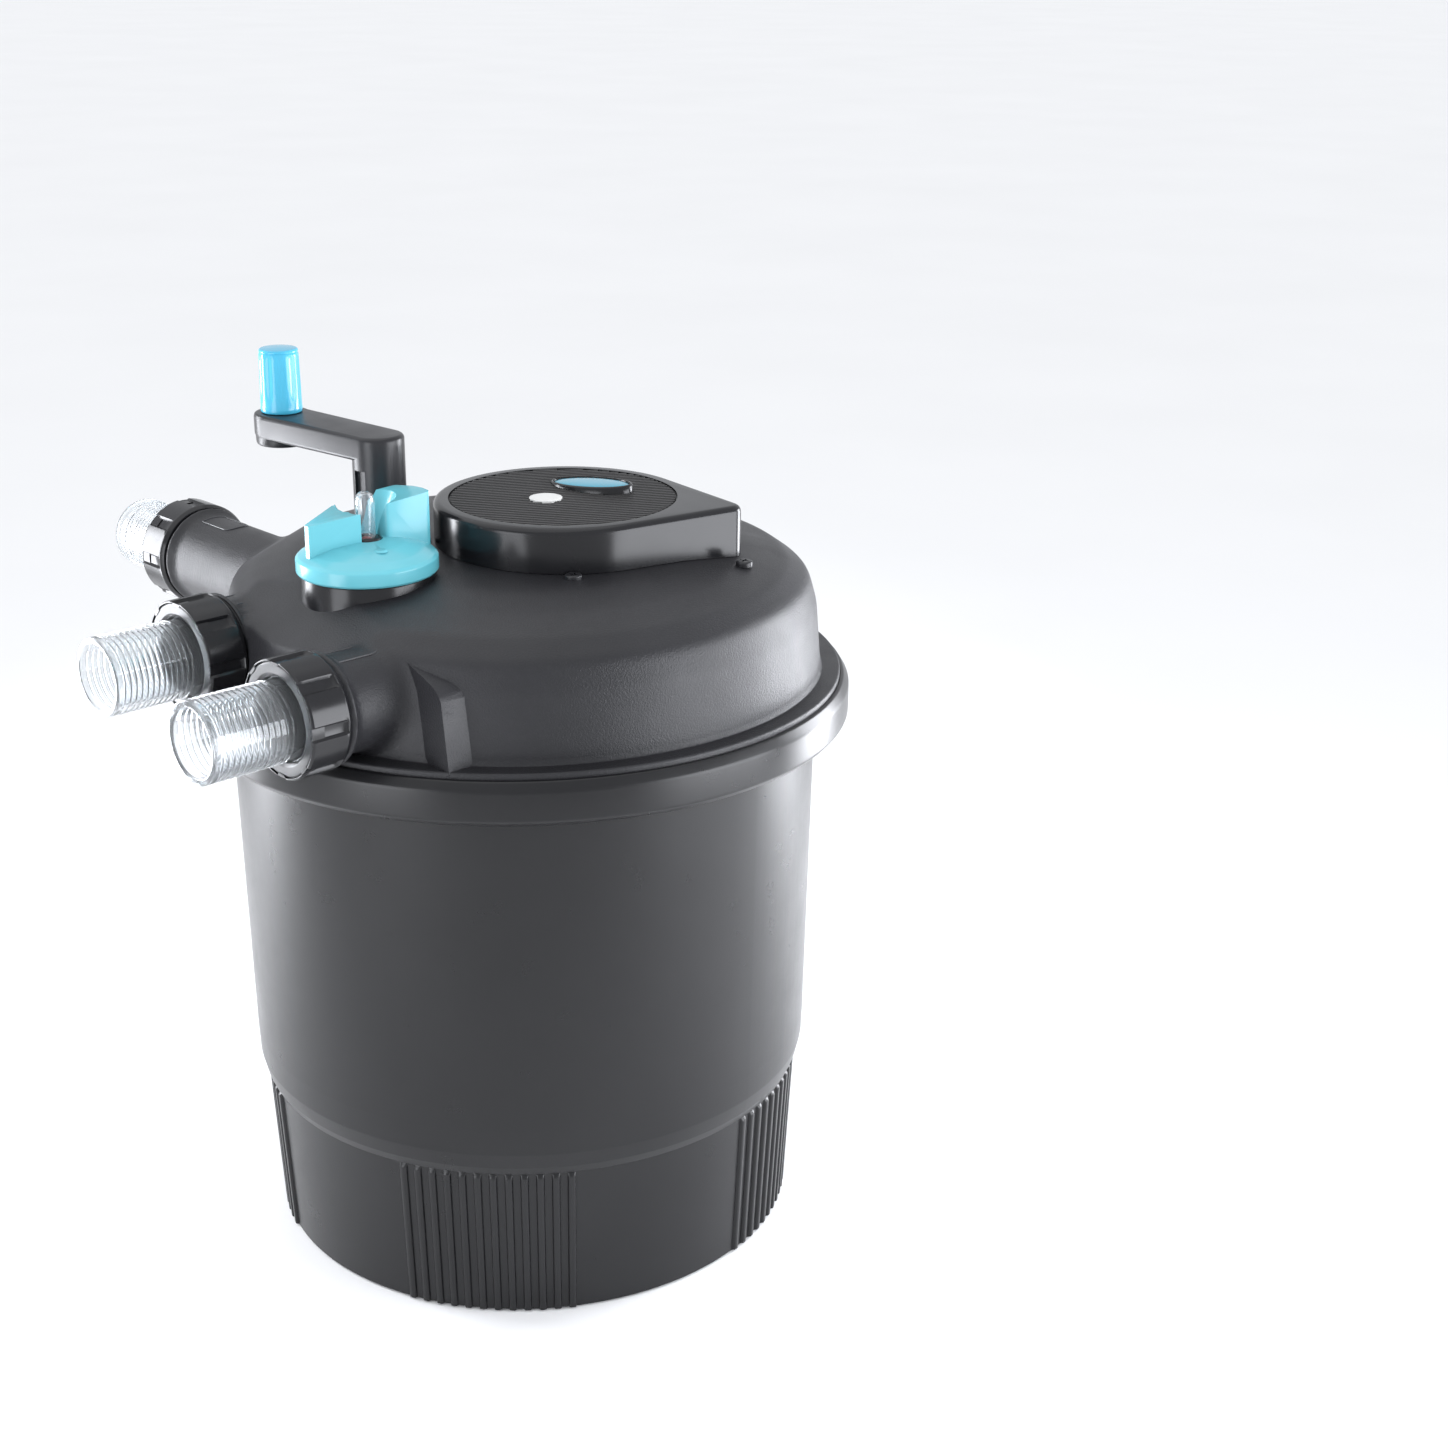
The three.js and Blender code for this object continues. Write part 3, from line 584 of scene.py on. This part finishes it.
DIAL_X = -113.2
CRANK_OUT = 84
CRANK_AZIMUTH = math.radians(143.8)
CRANK_AXIS = (CRANK_OUT * math.cos(CRANK_AZIMUTH), CRANK_OUT * math.sin(CRANK_AZIMUTH))
FILLET = 2.6  # how far the mould rounds the inner corners of the head


def wedge(points, x0, x1):
    """A gusset: an outline of (y, z) points made solid from x0 to x1."""
    flat = prism(points, x0, x1)
    return moved(flat, Matrix(((0, 0, 1, 0), (1, 0, 0, 0), (0, 1, 0, 0), (0, 0, 0, 1))))


def push_along_normals(obj, distance):
    for vertex, normal in [(v, v.normal.copy()) for v in obj.data.vertices]:
        vertex.co += normal * distance * MM


def voxel_remesh(obj, voxel):
    modifier = obj.modifiers.new("remesh", "REMESH")
    modifier.mode = "VOXEL"
    modifier.voxel_size = voxel * MM
    apply_modifiers(obj)


GUSSET_1 = [
    (-55, 352), (-122.5, 352), (-122.5, 361), (-117.5, 399), (-115.5, 402.5), (-111, 406), (-101, 410),
    (-88, 414.5), (-75, 418), (-55, 416),
]
SCOOPS = [(180, 132), (122, 140)]  # heading of each slope beside the ports, and where it starts
SCOOP_SLOPE = 32.0  # degrees
SCOOP_TOP = 436.5  # height where a slope starts
SEAT_R = 34.6  # room cut in the head round nut 2
SHELL_WALL = 4  # thickness left under a slope
VOXEL_FIRST = 1.6  # before the fillets are made
VOXEL_SECOND = 1.8  # after


def scoop(heading, start, depth):
    """Everything above a slope that falls away from the dome towards the ports."""
    tool = box(0, 200, -250, 250, 0, 120)
    return moved(tool, turn(SCOOP_SLOPE, "Y"), shift(start, 0, SCOOP_TOP - depth), turn(heading))


def head_cavity():
    """The hollow of the head, as a mesh in mm."""
    cavity = outline([
        (0, 330), (178, 330), (178, 361), (174.8, 400, 10), (168, 417, 8), (150, 425, 16),
        (110, 432, 40), (0, 436),
    ], 6)
    inside = piece("inside", lathe(cavity, 128), MATTE_BLACK)
    for heading, start in SCOOPS:
        boolean(inside, scoop(heading, start - SHELL_WALL, SHELL_WALL), "DIFFERENCE")
    return as_tool(inside)


def make_head():
    dome = outline([
        (0, 352), (184, 352), (182.2, 362, 2), (179.2, 400, 10), (174.6, 416.5, 12), (160, 427, 16),
        (138, 432.3, 30), (108, 436.2, 60), (0, 440),
    ], 8)
    head = piece("head_skin", lathe(dome, 160), MATTE_BLACK)
    for heading, start in SCOOPS:
        boolean(head, scoop(heading, start, 0), "DIFFERENCE")
    for index in range(3):
        tube = lathe(tube_profile(index), 64)
        boolean(head, moved(tube, port_place(index)), "UNION")
    gusset_3 = [(80, 352), (136, 352), (136, 361), (136, 400), (80, 400)]
    boolean(head, wedge(gusset_3, -122, -99), "UNION")
    voxel_remesh(head, VOXEL_FIRST)
    push_along_normals(head, FILLET)
    voxel_remesh(head, VOXEL_SECOND)
    push_along_normals(head, -FILLET)
    smooth = head.modifiers.new("smooth", "SMOOTH")
    smooth.factor = 0.5
    smooth.iterations = 8
    apply_modifiers(head)
    boolean(head, wedge(GUSSET_1, -151, -122), "UNION")
    boolean(head, box(-400, 400, -400, 400, 300, 358), "DIFFERENCE")
    flange = outline([
        (170, 345.4), (194.3, 345.4), (194.3, 360.5, 1.6), (183.2, 360.5, 1), (181, 366), (170, 366),
    ], 4)
    boolean(head, lathe(flange, 180), "UNION")
    seat = cylinder(SEAT_R, -0.4, 20, 64)
    boolean(head, moved(seat, port_place(1)), "DIFFERENCE")
    spigot = lathe(tube_profile(1), 64)
    boolean(head, moved(spigot, port_place(1)), "UNION")
    boolean(head, head_cavity(), "DIFFERENCE")
    for index in range(3):
        bore = cylinder(BORE_R, -100, SPIGOT_END + 5, 48)
        boolean(head, moved(bore, port_place(index)), "DIFFERENCE")
    for x, y, r in ((DIAL_X, 0, 10.4), (*CRANK_AXIS, 11.3), (0, 0, 24.1)):
        hole = cylinder(r, 380, 460, 48)
        boolean(head, moved(hole, shift(x, y)), "DIFFERENCE")
    smooth_by_angle(head, 30)
    finished(head, "head", "black_matte", "head_shell")


def make_turret():
    """The raised seat under the dial."""
    section = outline([
        (30, 402), (39.6, 402), (38.8, 425), (38.2, 438.6), (37.8, 439.8, 0.8), (10.4, 439.8),
        (10.4, 434), (30, 434),
    ], 4)
    turret = piece("turret", moved(lathe(section, 96), shift(DIAL_X, 0)), GLOSS_BLACK)
    finished(turret, "head", "black_matte")


def on_tube(index, along, across, lift):
    """A point on top of a port tube, in mm: along from the nut's back face inward, across its top."""
    radius = TUBE_R + lift
    angle = across / TUBE_R
    up = Vector((-1, 0, 0)) if index < 2 else Vector((0, 1, 0))
    side = Vector((0, 1, 0)) if index < 2 else Vector((1, 0, 0))
    start = port_place(index).translation
    lifted = Vector((0, 0, 1)) * math.cos(angle) + side * math.sin(angle)
    return start - up * along + lifted * radius


LABEL_HALF = 8.5


def make_label_pad(index, near, far):
    """A blank label field: a thin raised frame, with its inner end rounded, on top of a tube."""
    frame_line = outline([
        (near, -LABEL_HALF, 1), (far, -LABEL_HALF, 7), (far, LABEL_HALF, 7), (near, LABEL_HALF, 1),
    ], 6)
    dense = [
        a.lerp(b, k / 3) for a, b in zip(frame_line, frame_line[1:] + frame_line[:1]) for k in range(3)
    ]
    path = [on_tube(index, along, across, 0.1) for along, across in dense]
    pad = wire(f"label_frame_{index + 1}", path, 0.5, 2, LABEL_GREY)
    finished(pad, "head", "black_matte")


# ------------------------------------------------------------------ nuts, tails and rings

NUT_R = 33.5
GROOVES = 8
GROOVE_DEPTH = 2.0
GROOVE_START = 3.2  # height over the nut's back face
GROOVE_RISE = 3.0  # height over which a groove reaches its full depth
GROOVED_R = 32.4  # points further in are the nut's inside


def make_nut(index):
    grooves = even_angles(GROOVES)
    shape = [(-4.3, 0.0), (-3.7, 0.35), (-3.0, 0.9), (-2.2, 1.0), (0.0, 1.0), (2.2, 1.0), (3.0, 0.9),
             (3.7, 0.35), (4.3, 0.0)]
    depths = {(g + across / NUT_R) % FULL_TURN: depth for g in grooves for across, depth in shape}
    for g in grooves:
        for k in range(1, 6):
            depths[(g + FULL_TURN / GROOVES * (0.16 + 0.68 * k / 6)) % FULL_TURN] = 0.0

    def groove(angle, radius, height):
        if radius < GROOVED_R or height < GROOVE_START:
            return 0.0
        rise = min(1.0, math.sqrt((height - GROOVE_START) / GROOVE_RISE))
        return -GROOVE_DEPTH * depths[angle] * rise

    side = [(NUT_R, z) for z in (3.2, 3.6, 4.2, 5.0, 6.2, 12, 20, 24.6)]
    front = outline([(33.4, 24.7), (33.2, 26, 0.9), (32.1, 26, 0.3), (32.1, 18), (28.6, 18),
                     (28.6, 0), (31.8, 0, 0.8), (33.4, 2.6, 0.8)], 4)
    nut = piece(f"nut_{index + 1}", lathe([*side, *front], sorted(depths), groove), GLOSS_BLACK, 40)
    nut.data.transform(Matrix.Scale(MM, 4) @ port_place(index) @ Matrix.Scale(1 / MM, 4))
    finished(nut, f"union_nut_{index + 1}", "black_gloss", f"union_nut_{index + 1}")


TAIL_R = 23.1
TAIL_START = SPIGOT_END + 2.6
TAIL_END = NUT_LENGTH + 52.5


def make_tail(index):
    ridges = []
    ridge_count = 13
    first = NUT_LENGTH + 2.0
    pitch = (TAIL_END - 4.5 - first) / ridge_count
    for k in range(ridge_count):
        z = first + k * pitch
        ridges += [(TAIL_R - 0.75, z), (TAIL_R - 0.7, z + pitch * 0.62, 0.2),
                   (TAIL_R, z + pitch * 0.72, 0.25), (TAIL_R, z + pitch * 0.88, 0.25),
                   (TAIL_R - 0.75, z + pitch * 0.97, 0.2)]
    profile = outline([
        (19, TAIL_START), (30.4, TAIL_START, 0.5), (30.4, TAIL_START + 3, 0.8),
        (TAIL_R - 0.2, TAIL_START + 3, 1.2), *ridges, (TAIL_R - 0.5, TAIL_END - 4.4),
        (TAIL_R + 0.1, TAIL_END - 3.6, 0.5), (TAIL_R + 0.1, TAIL_END, 1.2), (19, TAIL_END, 1.2),
    ], 3)
    tail = piece(f"tail_{index + 1}", moved(lathe(profile, 72), port_place(index)), CLEAR, 50)
    finished(tail, f"hosetail_{index + 1}", "clear_plastic", f"hosetail_{index + 1}")


def make_retainer(index):
    profile = outline([
        (23.8, 21.9), (31.8, 21.9), (31.8, 25.2, 0.5), (30.8, 25.6, 0.6), (26, 25.6, 1), (23.8, 24.4, 1),
    ], 4)
    ring = piece(f"ring_{index + 1}", moved(lathe(profile, 72), port_place(index)), SATIN_BLACK, 50)
    finished(ring, f"union_nut_{index + 1}", "black_satin", f"retainer_ring_{index + 1}")


# ------------------------------------------------------------------ dial

DIAL_BOTTOM = 440.1
DIAL_BORE = 9.2
WING_BOTTOM, WING_TOP = 446, 490  # the wings before their top is cut to a slope
WING_HEIGHT = 476  # of the sloped top, at the dial's axis
WING_SLOPE = 0.146
WING_SLOPE_HEADING = -11.4
GAUGE_FOOT = 444.3


def make_dial():
    profile = outline([
        (DIAL_BORE, DIAL_BOTTOM), (39.6, DIAL_BOTTOM, 0.8), (40.7, 441.5, 0.8), (40.7, 448.6, 1.6),
        (39.0, 450.3, 1.4), (33, 453.2, 8), (22, 456.8, 12), (DIAL_BORE, 458.9, 0.4),
    ], 6)
    dial = piece("dial_skin", lathe(profile, 128), DIAL_CYAN)
    left = [(-35.4, 4.6), (-7.2, -5.9), (-8, -0.7), (-8.2, 3.8), (-9.7, 7.6), (-8.3, 15.4), (-6.1, 23.6),
            (-34.9, 9.3)]
    right = [(11.5, -4.9), (38.7, -10.3), (40, 0), (39.2, 8), (34.9, 19.5), (20, 24), (-6.1, 23.6),
             (-8.3, 15.4), (2, 12)]
    grip = piece("grip", prism(left, WING_BOTTOM, WING_TOP), DIAL_CYAN)
    right_wing = prism(outline([(*p, 3.0) for p in right], 4), WING_BOTTOM, WING_TOP)
    boolean(grip, right_wing, "UNION")
    slope = turn(-math.degrees(math.atan(WING_SLOPE)), "Y")
    above = moved(box(-90, 90, -90, 90, 0, 60), slope, turn(WING_SLOPE_HEADING), shift(0, 0, WING_HEIGHT))
    boolean(grip, above, "DIFFERENCE")
    funnel = lathe([(0, 456), (9.4, 456), (19.5, 482), (19.5, 495), (0, 495)], 96)
    boolean(grip, moved(funnel, shift(8.6, 13.1)), "DIFFERENCE")
    boolean(grip, cylinder(DIAL_BORE, 430, 500, 64), "DIFFERENCE")
    rounded_edges(grip, 0.9, 3, 30)
    boolean(dial, as_tool(grip), "UNION")
    dimple = lathe(outline([(0, 0), (4.4, 0, 0.6), (3.2, 1.2, 0.6), (0, 1.5)], 4), 40)
    boolean(dial, moved(dimple, shift(-5, -21, 456.2)), "UNION")
    smooth_by_angle(dial, 30)
    dial.data.transform(shift(DIAL_X * MM, 0))
    finished(dial, "dial", "dial_plastic", "control_dial")


def make_gauge():
    """Sight tube with its domed end, and the black collar round its foot."""
    tube = outline([
        (4.4, GAUGE_FOOT), (5.6, GAUGE_FOOT), (5.6, 480.6, 3), (4.6, 484.4, 3), (2.4, 486.0, 2),
        (0, 486.2), (0, 484.8), (2.0, 484.4, 2), (3.6, 482.8, 2), (4.4, 480, 2),
    ], 5)
    sight = piece("sight_tube", moved(lathe(tube, 48), shift(DIAL_X, 0)), CLEAR, 50)
    finished(sight, "dial", "clear_plastic", "sight_dome")
    collar = outline([
        (5.9, GAUGE_FOOT), (8.6, GAUGE_FOOT), (8.6, 459, 1.0), (7.4, 460, 0.8), (5.9, 460),
    ], 4)
    bearing = piece("gauge_collar", moved(lathe(collar, 48), shift(DIAL_X, 0)), GLOSS_BLACK)
    finished(bearing, "dial", "black_gloss", "rod_bearing")
    rod_shape = outline([(0, 398), (3.2, 398), (3.2, 459.5, 2), (0, 459.5)], 5)
    rod = piece("gauge_rod", moved(lathe(rod_shape, 32), shift(DIAL_X, 0)), RED)
    finished(rod, "display_rod", "red_plastic", "display_rod")


# ------------------------------------------------------------------ crank

ARM_LENGTH = 88.5
ARM_AZIMUTH = 95.8
ARM_BOTTOM = 489.2
ARM_TOP = 504.2
ARM_END_R = 17.2
LEG_R = 15.7
FLUTES = 10
POINTS_PER_FLUTE = 8
FLUTE_LOW, FLUTE_HIGH = 512, 541
FLUTE_DEPTH = 0.75


def arc(cx, cy, radius, start, end, count):
    return [
        (cx + radius * math.cos(math.radians(start + (end - start) * k / count)),
         cy + radius * math.sin(math.radians(start + (end - start) * k / count)))
        for k in range(count + 1)
    ]


def make_crank():
    place = shift(*CRANK_AXIS) @ turn(ARM_AZIMUTH)
    shape = [*arc(0, 0, LEG_R, 90, 270, 24), *arc(ARM_LENGTH, 0, ARM_END_R, -90, 90, 24)]
    arm = piece("crank_skin", moved(prism(shape, ARM_BOTTOM, ARM_TOP), place), SATIN_BLACK)
    rounded_edges(arm, 2.8, 4, 50)
    boss = lathe(outline([
        (0, 484.5), (16.4, 484.5, 2.5), (ARM_END_R, 502, 3), (16.6, ARM_TOP, 2.5), (0, ARM_TOP),
    ], 5), 64)
    boolean(arm, moved(boss, shift(ARM_LENGTH, 0), place), "UNION")
    leg = lathe(outline([(0, 438.2), (LEG_R, 438.2, 1), (LEG_R, 498), (0, 498)], 3), 64)
    boolean(arm, moved(leg, place), "UNION")
    recess = box(-4.5, 4.5, 13.2, 30, 444, 484)
    boolean(arm, moved(recess, place), "DIFFERENCE")
    shaft_hole = cylinder(6.3, 430, 470.3, 32)
    boolean(arm, moved(shaft_hole, place), "DIFFERENCE")
    pin_hole = cylinder(3.8, 492.8, 520, 32)
    boolean(arm, moved(pin_hole, shift(ARM_LENGTH, 0), place), "DIFFERENCE")
    smooth_by_angle(arm, 32)
    finished(arm, "crank", "black_satin", "crank_arm")


def make_grip():
    def flute(angle, radius, height):
        if radius < 11 or height < FLUTE_LOW or height > FLUTE_HIGH:
            return 0.0
        wave = 0.5 + 0.5 * math.cos(angle * FLUTES)
        ends = min(1.0, (height - FLUTE_LOW) / 4, (FLUTE_HIGH - height) / 3)
        return -FLUTE_DEPTH * wave * wave * ends

    heights = (508, 511, 513, 515, 518, 524, 530, 536, 538, 540)
    side = [(12.6 - 0.5 * (z - 508) / 32, z) for z in heights]
    top = outline([(12.1, 541.5, 0.5), (11.6, 543.4, 1.4), (0, 544)], 4)
    low = outline([(0, 539), (3.9, 539), (3.9, 504.5), (12.6, 504.5, 0.8), (12.8, 507, 0.6)], 3)
    place = shift(*CRANK_AXIS) @ turn(ARM_AZIMUTH) @ shift(ARM_LENGTH, 0)
    mesh = lathe([*low, *side, *top], FLUTES * POINTS_PER_FLUTE, flute)
    grip = piece("handle_skin", moved(mesh, place), GRIP_CYAN, 40)
    finished(grip, "crank_grip", "grip_plastic", "crank_grip")


# ------------------------------------------------------------------ lamp cover

COVER_X, COVER_Y, COVER_R = 19.6, -15.5, 78.0
TIP_X, TIP_Y, TIP_R = 84.5, -102.7, 9.0
COVER_TOP = 464.0
COVER_WALL = 2.6
GRILLE_R = 68.5
GRILLE_PITCH = 4.0
GRILLE_RIB_HALF = 1.1
GRILLE_RIB_TAPER = 0.55  # width of a rib's top, as a share of its foot
GRILLE_HEADING = -30.0
BADGE_LONG, BADGE_SHORT = 26, 12.5  # half lengths of the oval
BADGE_HEADING = -72.4
BADGE_TILT = -3.5
SCREW_PLACES = [(-29.8, -83.4, 437.6), (72, -119, 433.8), (-50, 33, 438.6)]


def teardrop(inset):
    reach = math.hypot(TIP_X - COVER_X, TIP_Y - COVER_Y) - TIP_R
    heading = math.degrees(math.atan2(TIP_Y - COVER_Y, TIP_X - COVER_X))
    lean = math.degrees(math.acos((COVER_R - TIP_R) / reach))
    tip_x = COVER_X + reach * math.cos(math.radians(heading))
    tip_y = COVER_Y + reach * math.sin(math.radians(heading))
    round_end = arc(COVER_X, COVER_Y, COVER_R - inset, heading + lean, heading - lean + 360, 96)
    tip = arc(tip_x, tip_y, TIP_R - inset, heading - lean, heading + lean, 12)
    return [*round_end, *tip]


def make_cover():
    dome = [(0, 300), (182, 300), (182.2, 362), (179.2, 400), (174.6, 416.8), (160, 427.3), (138, 432.6),
            (108, 436.5), (0, 440.4)]
    cover = piece("cover_skin", prism(teardrop(0), 415, COVER_TOP), GLOSS_BLACK)
    rounded_edges(cover, 4.2, 6, 60)
    boolean(cover, prism(teardrop(COVER_WALL), 400, COVER_TOP - 3), "DIFFERENCE")
    boolean(cover, lathe(dome, 160), "DIFFERENCE")
    tray = [(0, COVER_TOP - 2.4), (GRILLE_R + 0.2, COVER_TOP - 2.4), (GRILLE_R + 1.4, 470), (0, 470)]
    boolean(cover, moved(lathe(tray, 128), shift(COVER_X, COVER_Y)), "DIFFERENCE")
    smooth_by_angle(cover, 30)
    finished(cover, "head", "black_gloss", "lamp_cover")


def make_grille():
    """A round panel of fine straight ribs, across the cover."""
    count = int(GRILLE_R / GRILLE_PITCH)
    ribs = []
    for k in range(-count, count + 1):
        offset = k * GRILLE_PITCH
        half = math.sqrt(GRILLE_R ** 2 - offset ** 2) - 0.6
        near, far = offset - GRILLE_RIB_HALF, offset + GRILLE_RIB_HALF
        rib = box(-half, half, near, far, COVER_TOP - 2.2, COVER_TOP - 0.2)
        for vertex in rib.verts:
            if vertex.co.z > COVER_TOP - 1:
                vertex.co.y = offset + (vertex.co.y - offset) * GRILLE_RIB_TAPER
        ribs.append(rib)
    panel = cylinder(GRILLE_R + 1, COVER_TOP - 2.4, COVER_TOP - 2.0, 96)
    mesh = merged(panel, *ribs)
    moved(mesh, turn(GRILLE_HEADING), shift(COVER_X, COVER_Y))
    grille = piece("cover_grille", mesh, GRILLE_BLACK, 25)
    finished(grille, "head", "black_satin")


def ellipse(half_long, half_short, count=72):
    return [(half_long * math.cos(a), half_short * math.sin(a)) for a in even_angles(count)]


def domed_ellipse(half_long, half_short, levels):
    """An oval plate built from (scale, height) levels, closed on top."""
    mesh = bmesh.new()
    rows = [
        [mesh.verts.new((x * s, y * s, z)) for x, y in ellipse(half_long, half_short)] for s, z in levels
    ]
    for low, high in zip(rows, rows[1:]):
        bridge(mesh, low, high)
    mesh.faces.new(rows[0])
    mesh.faces.new(rows[-1])
    return mesh


def make_badge():
    place = shift(47.4, -9.5, COVER_TOP + 0.4) @ turn(BADGE_HEADING) @ turn(BADGE_TILT, "Y")
    levels = [(1, 0.1), (1, 1.2), (0.97, 1.7), (0.85, 2.2), (0.6, 2.6), (0.3, 2.8)]
    plate = domed_ellipse(BADGE_LONG, BADGE_SHORT, levels)
    finished(piece("badge", moved(plate, place), BADGE_CYAN, 50), "head", "badge_plastic", "badge_plate")
    mesh = bmesh.new()
    section = [(0.35, -3), (2.4, -3), (2.2, 1.6), (1.5, 2.4), (0.8, 2.5), (0.35, 1.8)]
    rows = []
    for out, z in section:
        rows.append([mesh.verts.new((x, y, z)) for x, y in ellipse(BADGE_LONG + out, BADGE_SHORT + out)])
    for low, high in zip(rows, rows[1:] + rows[:1]):
        bridge(mesh, low, high)
    bezel = piece("badge_frame", moved(mesh, place), GLOSS_BLACK, 50)
    finished(bezel, "head", "black_satin", "badge_bezel")


def make_lens():
    profile = outline([(0, -2.2), (10, -2.2), (10, 0.5, 0.5), (8, 0.9, 1), (0, 1.0)], 5)
    lens = piece("indicator", moved(lathe(profile, 64), shift(8.3, -12.9, COVER_TOP)), WHITE, 50)
    finished(lens, "head", "white_plastic", "indicator_lens")


def make_screws():
    for number, (x, y, z) in enumerate(SCREW_PLACES, 1):
        head = lathe(outline([(0, -1.5), (5, -1.5), (5, 1.2, 1.0), (4, 1.8, 1), (0, 1.8)], 4), 40)
        screw = piece(f"screw_{number}", moved(head, shift(x, y, z)), SATIN_BLACK, 40)
        for angle in (0, 90):
            slot = moved(box(-3, 3, -0.6, 0.6, 0.6, 6), turn(angle + 20), shift(x, y, z))
            boolean(screw, slot, "DIFFERENCE")
        smooth_by_angle(screw, 35)
        finished(screw, "head", "steel", f"cover_screw_{number}")


# ------------------------------------------------------------------ foam


def make_foams():
    rings = sorted(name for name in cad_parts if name.startswith("foam_ring_"))
    for number, node in enumerate(rings):
        low, high = size_of(node)
        profile = outline([
            (29.4, low.z, 2), (143.6, low.z, 4), (143.9, (low.z + high.z) / 2), (143.6, high.z, 4),
            (29.4, high.z, 2),
        ], 3)
        foam = piece(f"foam_{number + 1}", lathe(profile, 96), FOAM_RED if number % 2 else FOAM_BLUE)
        finished(foam, "foam_pack", "foam_red" if number % 2 else "foam_blue", node)


# ------------------------------------------------------------------ CAD nodes that stay

KEPT = {
    "main_seal": RUBBER, "sleeve_seal": RUBBER, "port_seal_1": RUBBER, "port_seal_2": RUBBER,
    "port_seal_3": RUBBER, "bearing_ring": SATIN_BLACK, "clasp_pin": STEEL,
    "cable_gland": SATIN_BLACK, "quartz_sleeve": QUARTZ, "sleeve_nut": SATIN_BLACK, "uv_lamp": WHITE,
    "lamp_holder": WHITE, "ballast": STEEL, "diverter_chamber": SATIN_BLACK, "crank_bush": WHITE,
    "diverter_rotor": WHITE, "crank_shaft": STEEL, "drive_pinion": WHITE, "grip_pin": STEEL,
    "pack_bottom_plate": SATIN_BLACK, "pack_top_plate": SATIN_BLACK, "centre_tube": SATIN_BLACK,
    "tie_rod_1": STEEL, "tie_rod_2": STEEL, "tie_rod_3": STEEL,
}


def dress_kept_nodes():
    for name, material in KEPT.items():
        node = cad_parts[name]
        node.data.materials.clear()
        node.data.materials.append(material)


# ------------------------------------------------------------------ stage

FLOOR_REACH = 60.0  # metres, far past what any view shows
FLOOR_DROP = 0.0002  # keeps the floor clear of the base
LIGHT_AIM = Vector((0, 0, 0.3))


def make_stage():
    floor_data = bpy.data.meshes.new("floor")
    reach = FLOOR_REACH
    corners = [(-reach, -reach, 0), (reach, -reach, 0), (reach, reach, 0), (-reach, reach, 0)]
    floor_data.from_pydata(corners, [], [(0, 1, 2, 3)])
    floor = bpy.data.objects.new("floor", floor_data)
    floor.location.z = -FLOOR_DROP
    scene.collection.objects.link(floor)
    nodes = Nodes("floor_paint")
    nodes.colours(nodes.noise(2.0), (0.82, 0.82, 0.82), (0.84, 0.84, 0.84))
    nodes.spread(nodes.noise(6.0), 0.75, 0.85, "Roughness")
    floor_data.materials.append(nodes.material)
    world = bpy.data.worlds.new("studio")
    world.use_nodes = True
    world.node_tree.nodes["Background"].inputs["Color"].default_value = (0.94, 0.96, 1.0, 1)
    world.node_tree.nodes["Background"].inputs["Strength"].default_value = 0.85
    scene.world = world
    scene.view_settings.view_transform = "Standard"


def softbox(name, azimuth, distance, height, size, power):
    data = bpy.data.lights.new(name, "AREA")
    data.shape = "RECTANGLE"
    data.size, data.size_y = size
    data.energy = power
    data.color = (0.93, 0.95, 1.0)
    light = bpy.data.objects.new(name, data)
    angle = math.radians(azimuth)
    light.location = (distance * math.cos(angle), distance * math.sin(angle), height)
    aim = LIGHT_AIM - light.location
    light.rotation_euler = aim.to_track_quat("-Z", "Y").to_euler()
    light.visible_camera = False
    scene.collection.objects.link(light)


def make_lights():
    softbox("left_low_box", -236, 0.9, 0.25, (0.3, 0.9), 14)
    softbox("left_wide_box", -174, 1.1, 0.3, (0.5, 0.9), 6)
    softbox("right_low_box", -20, 0.9, 0.25, (0.35, 0.9), 16)
    softbox("right_wide_box", -66, 1.1, 0.3, (0.8, 0.9), 16)
    data = bpy.data.lights.new("overhead", "SUN")
    data.energy = 0.9
    data.angle = math.radians(80)
    overhead = bpy.data.objects.new("overhead", data)
    overhead.rotation_euler = (math.radians(-14), math.radians(-10), 0)
    scene.collection.objects.link(overhead)


# ------------------------------------------------------------------ everything

dress_kept_nodes()
make_drum()
make_band()
make_lever()
make_link()
make_head()
make_turret()
make_label_pad(0, 8, 36)
make_label_pad(1, 6, 27)
make_label_pad(2, 12, 44)
for port in range(3):
    make_nut(port)
    make_tail(port)
    make_retainer(port)
make_dial()
make_gauge()
make_crank()
make_grip()
make_cover()
make_grille()
make_badge()
make_lens()
make_screws()
make_foams()
make_stage()
make_lights()
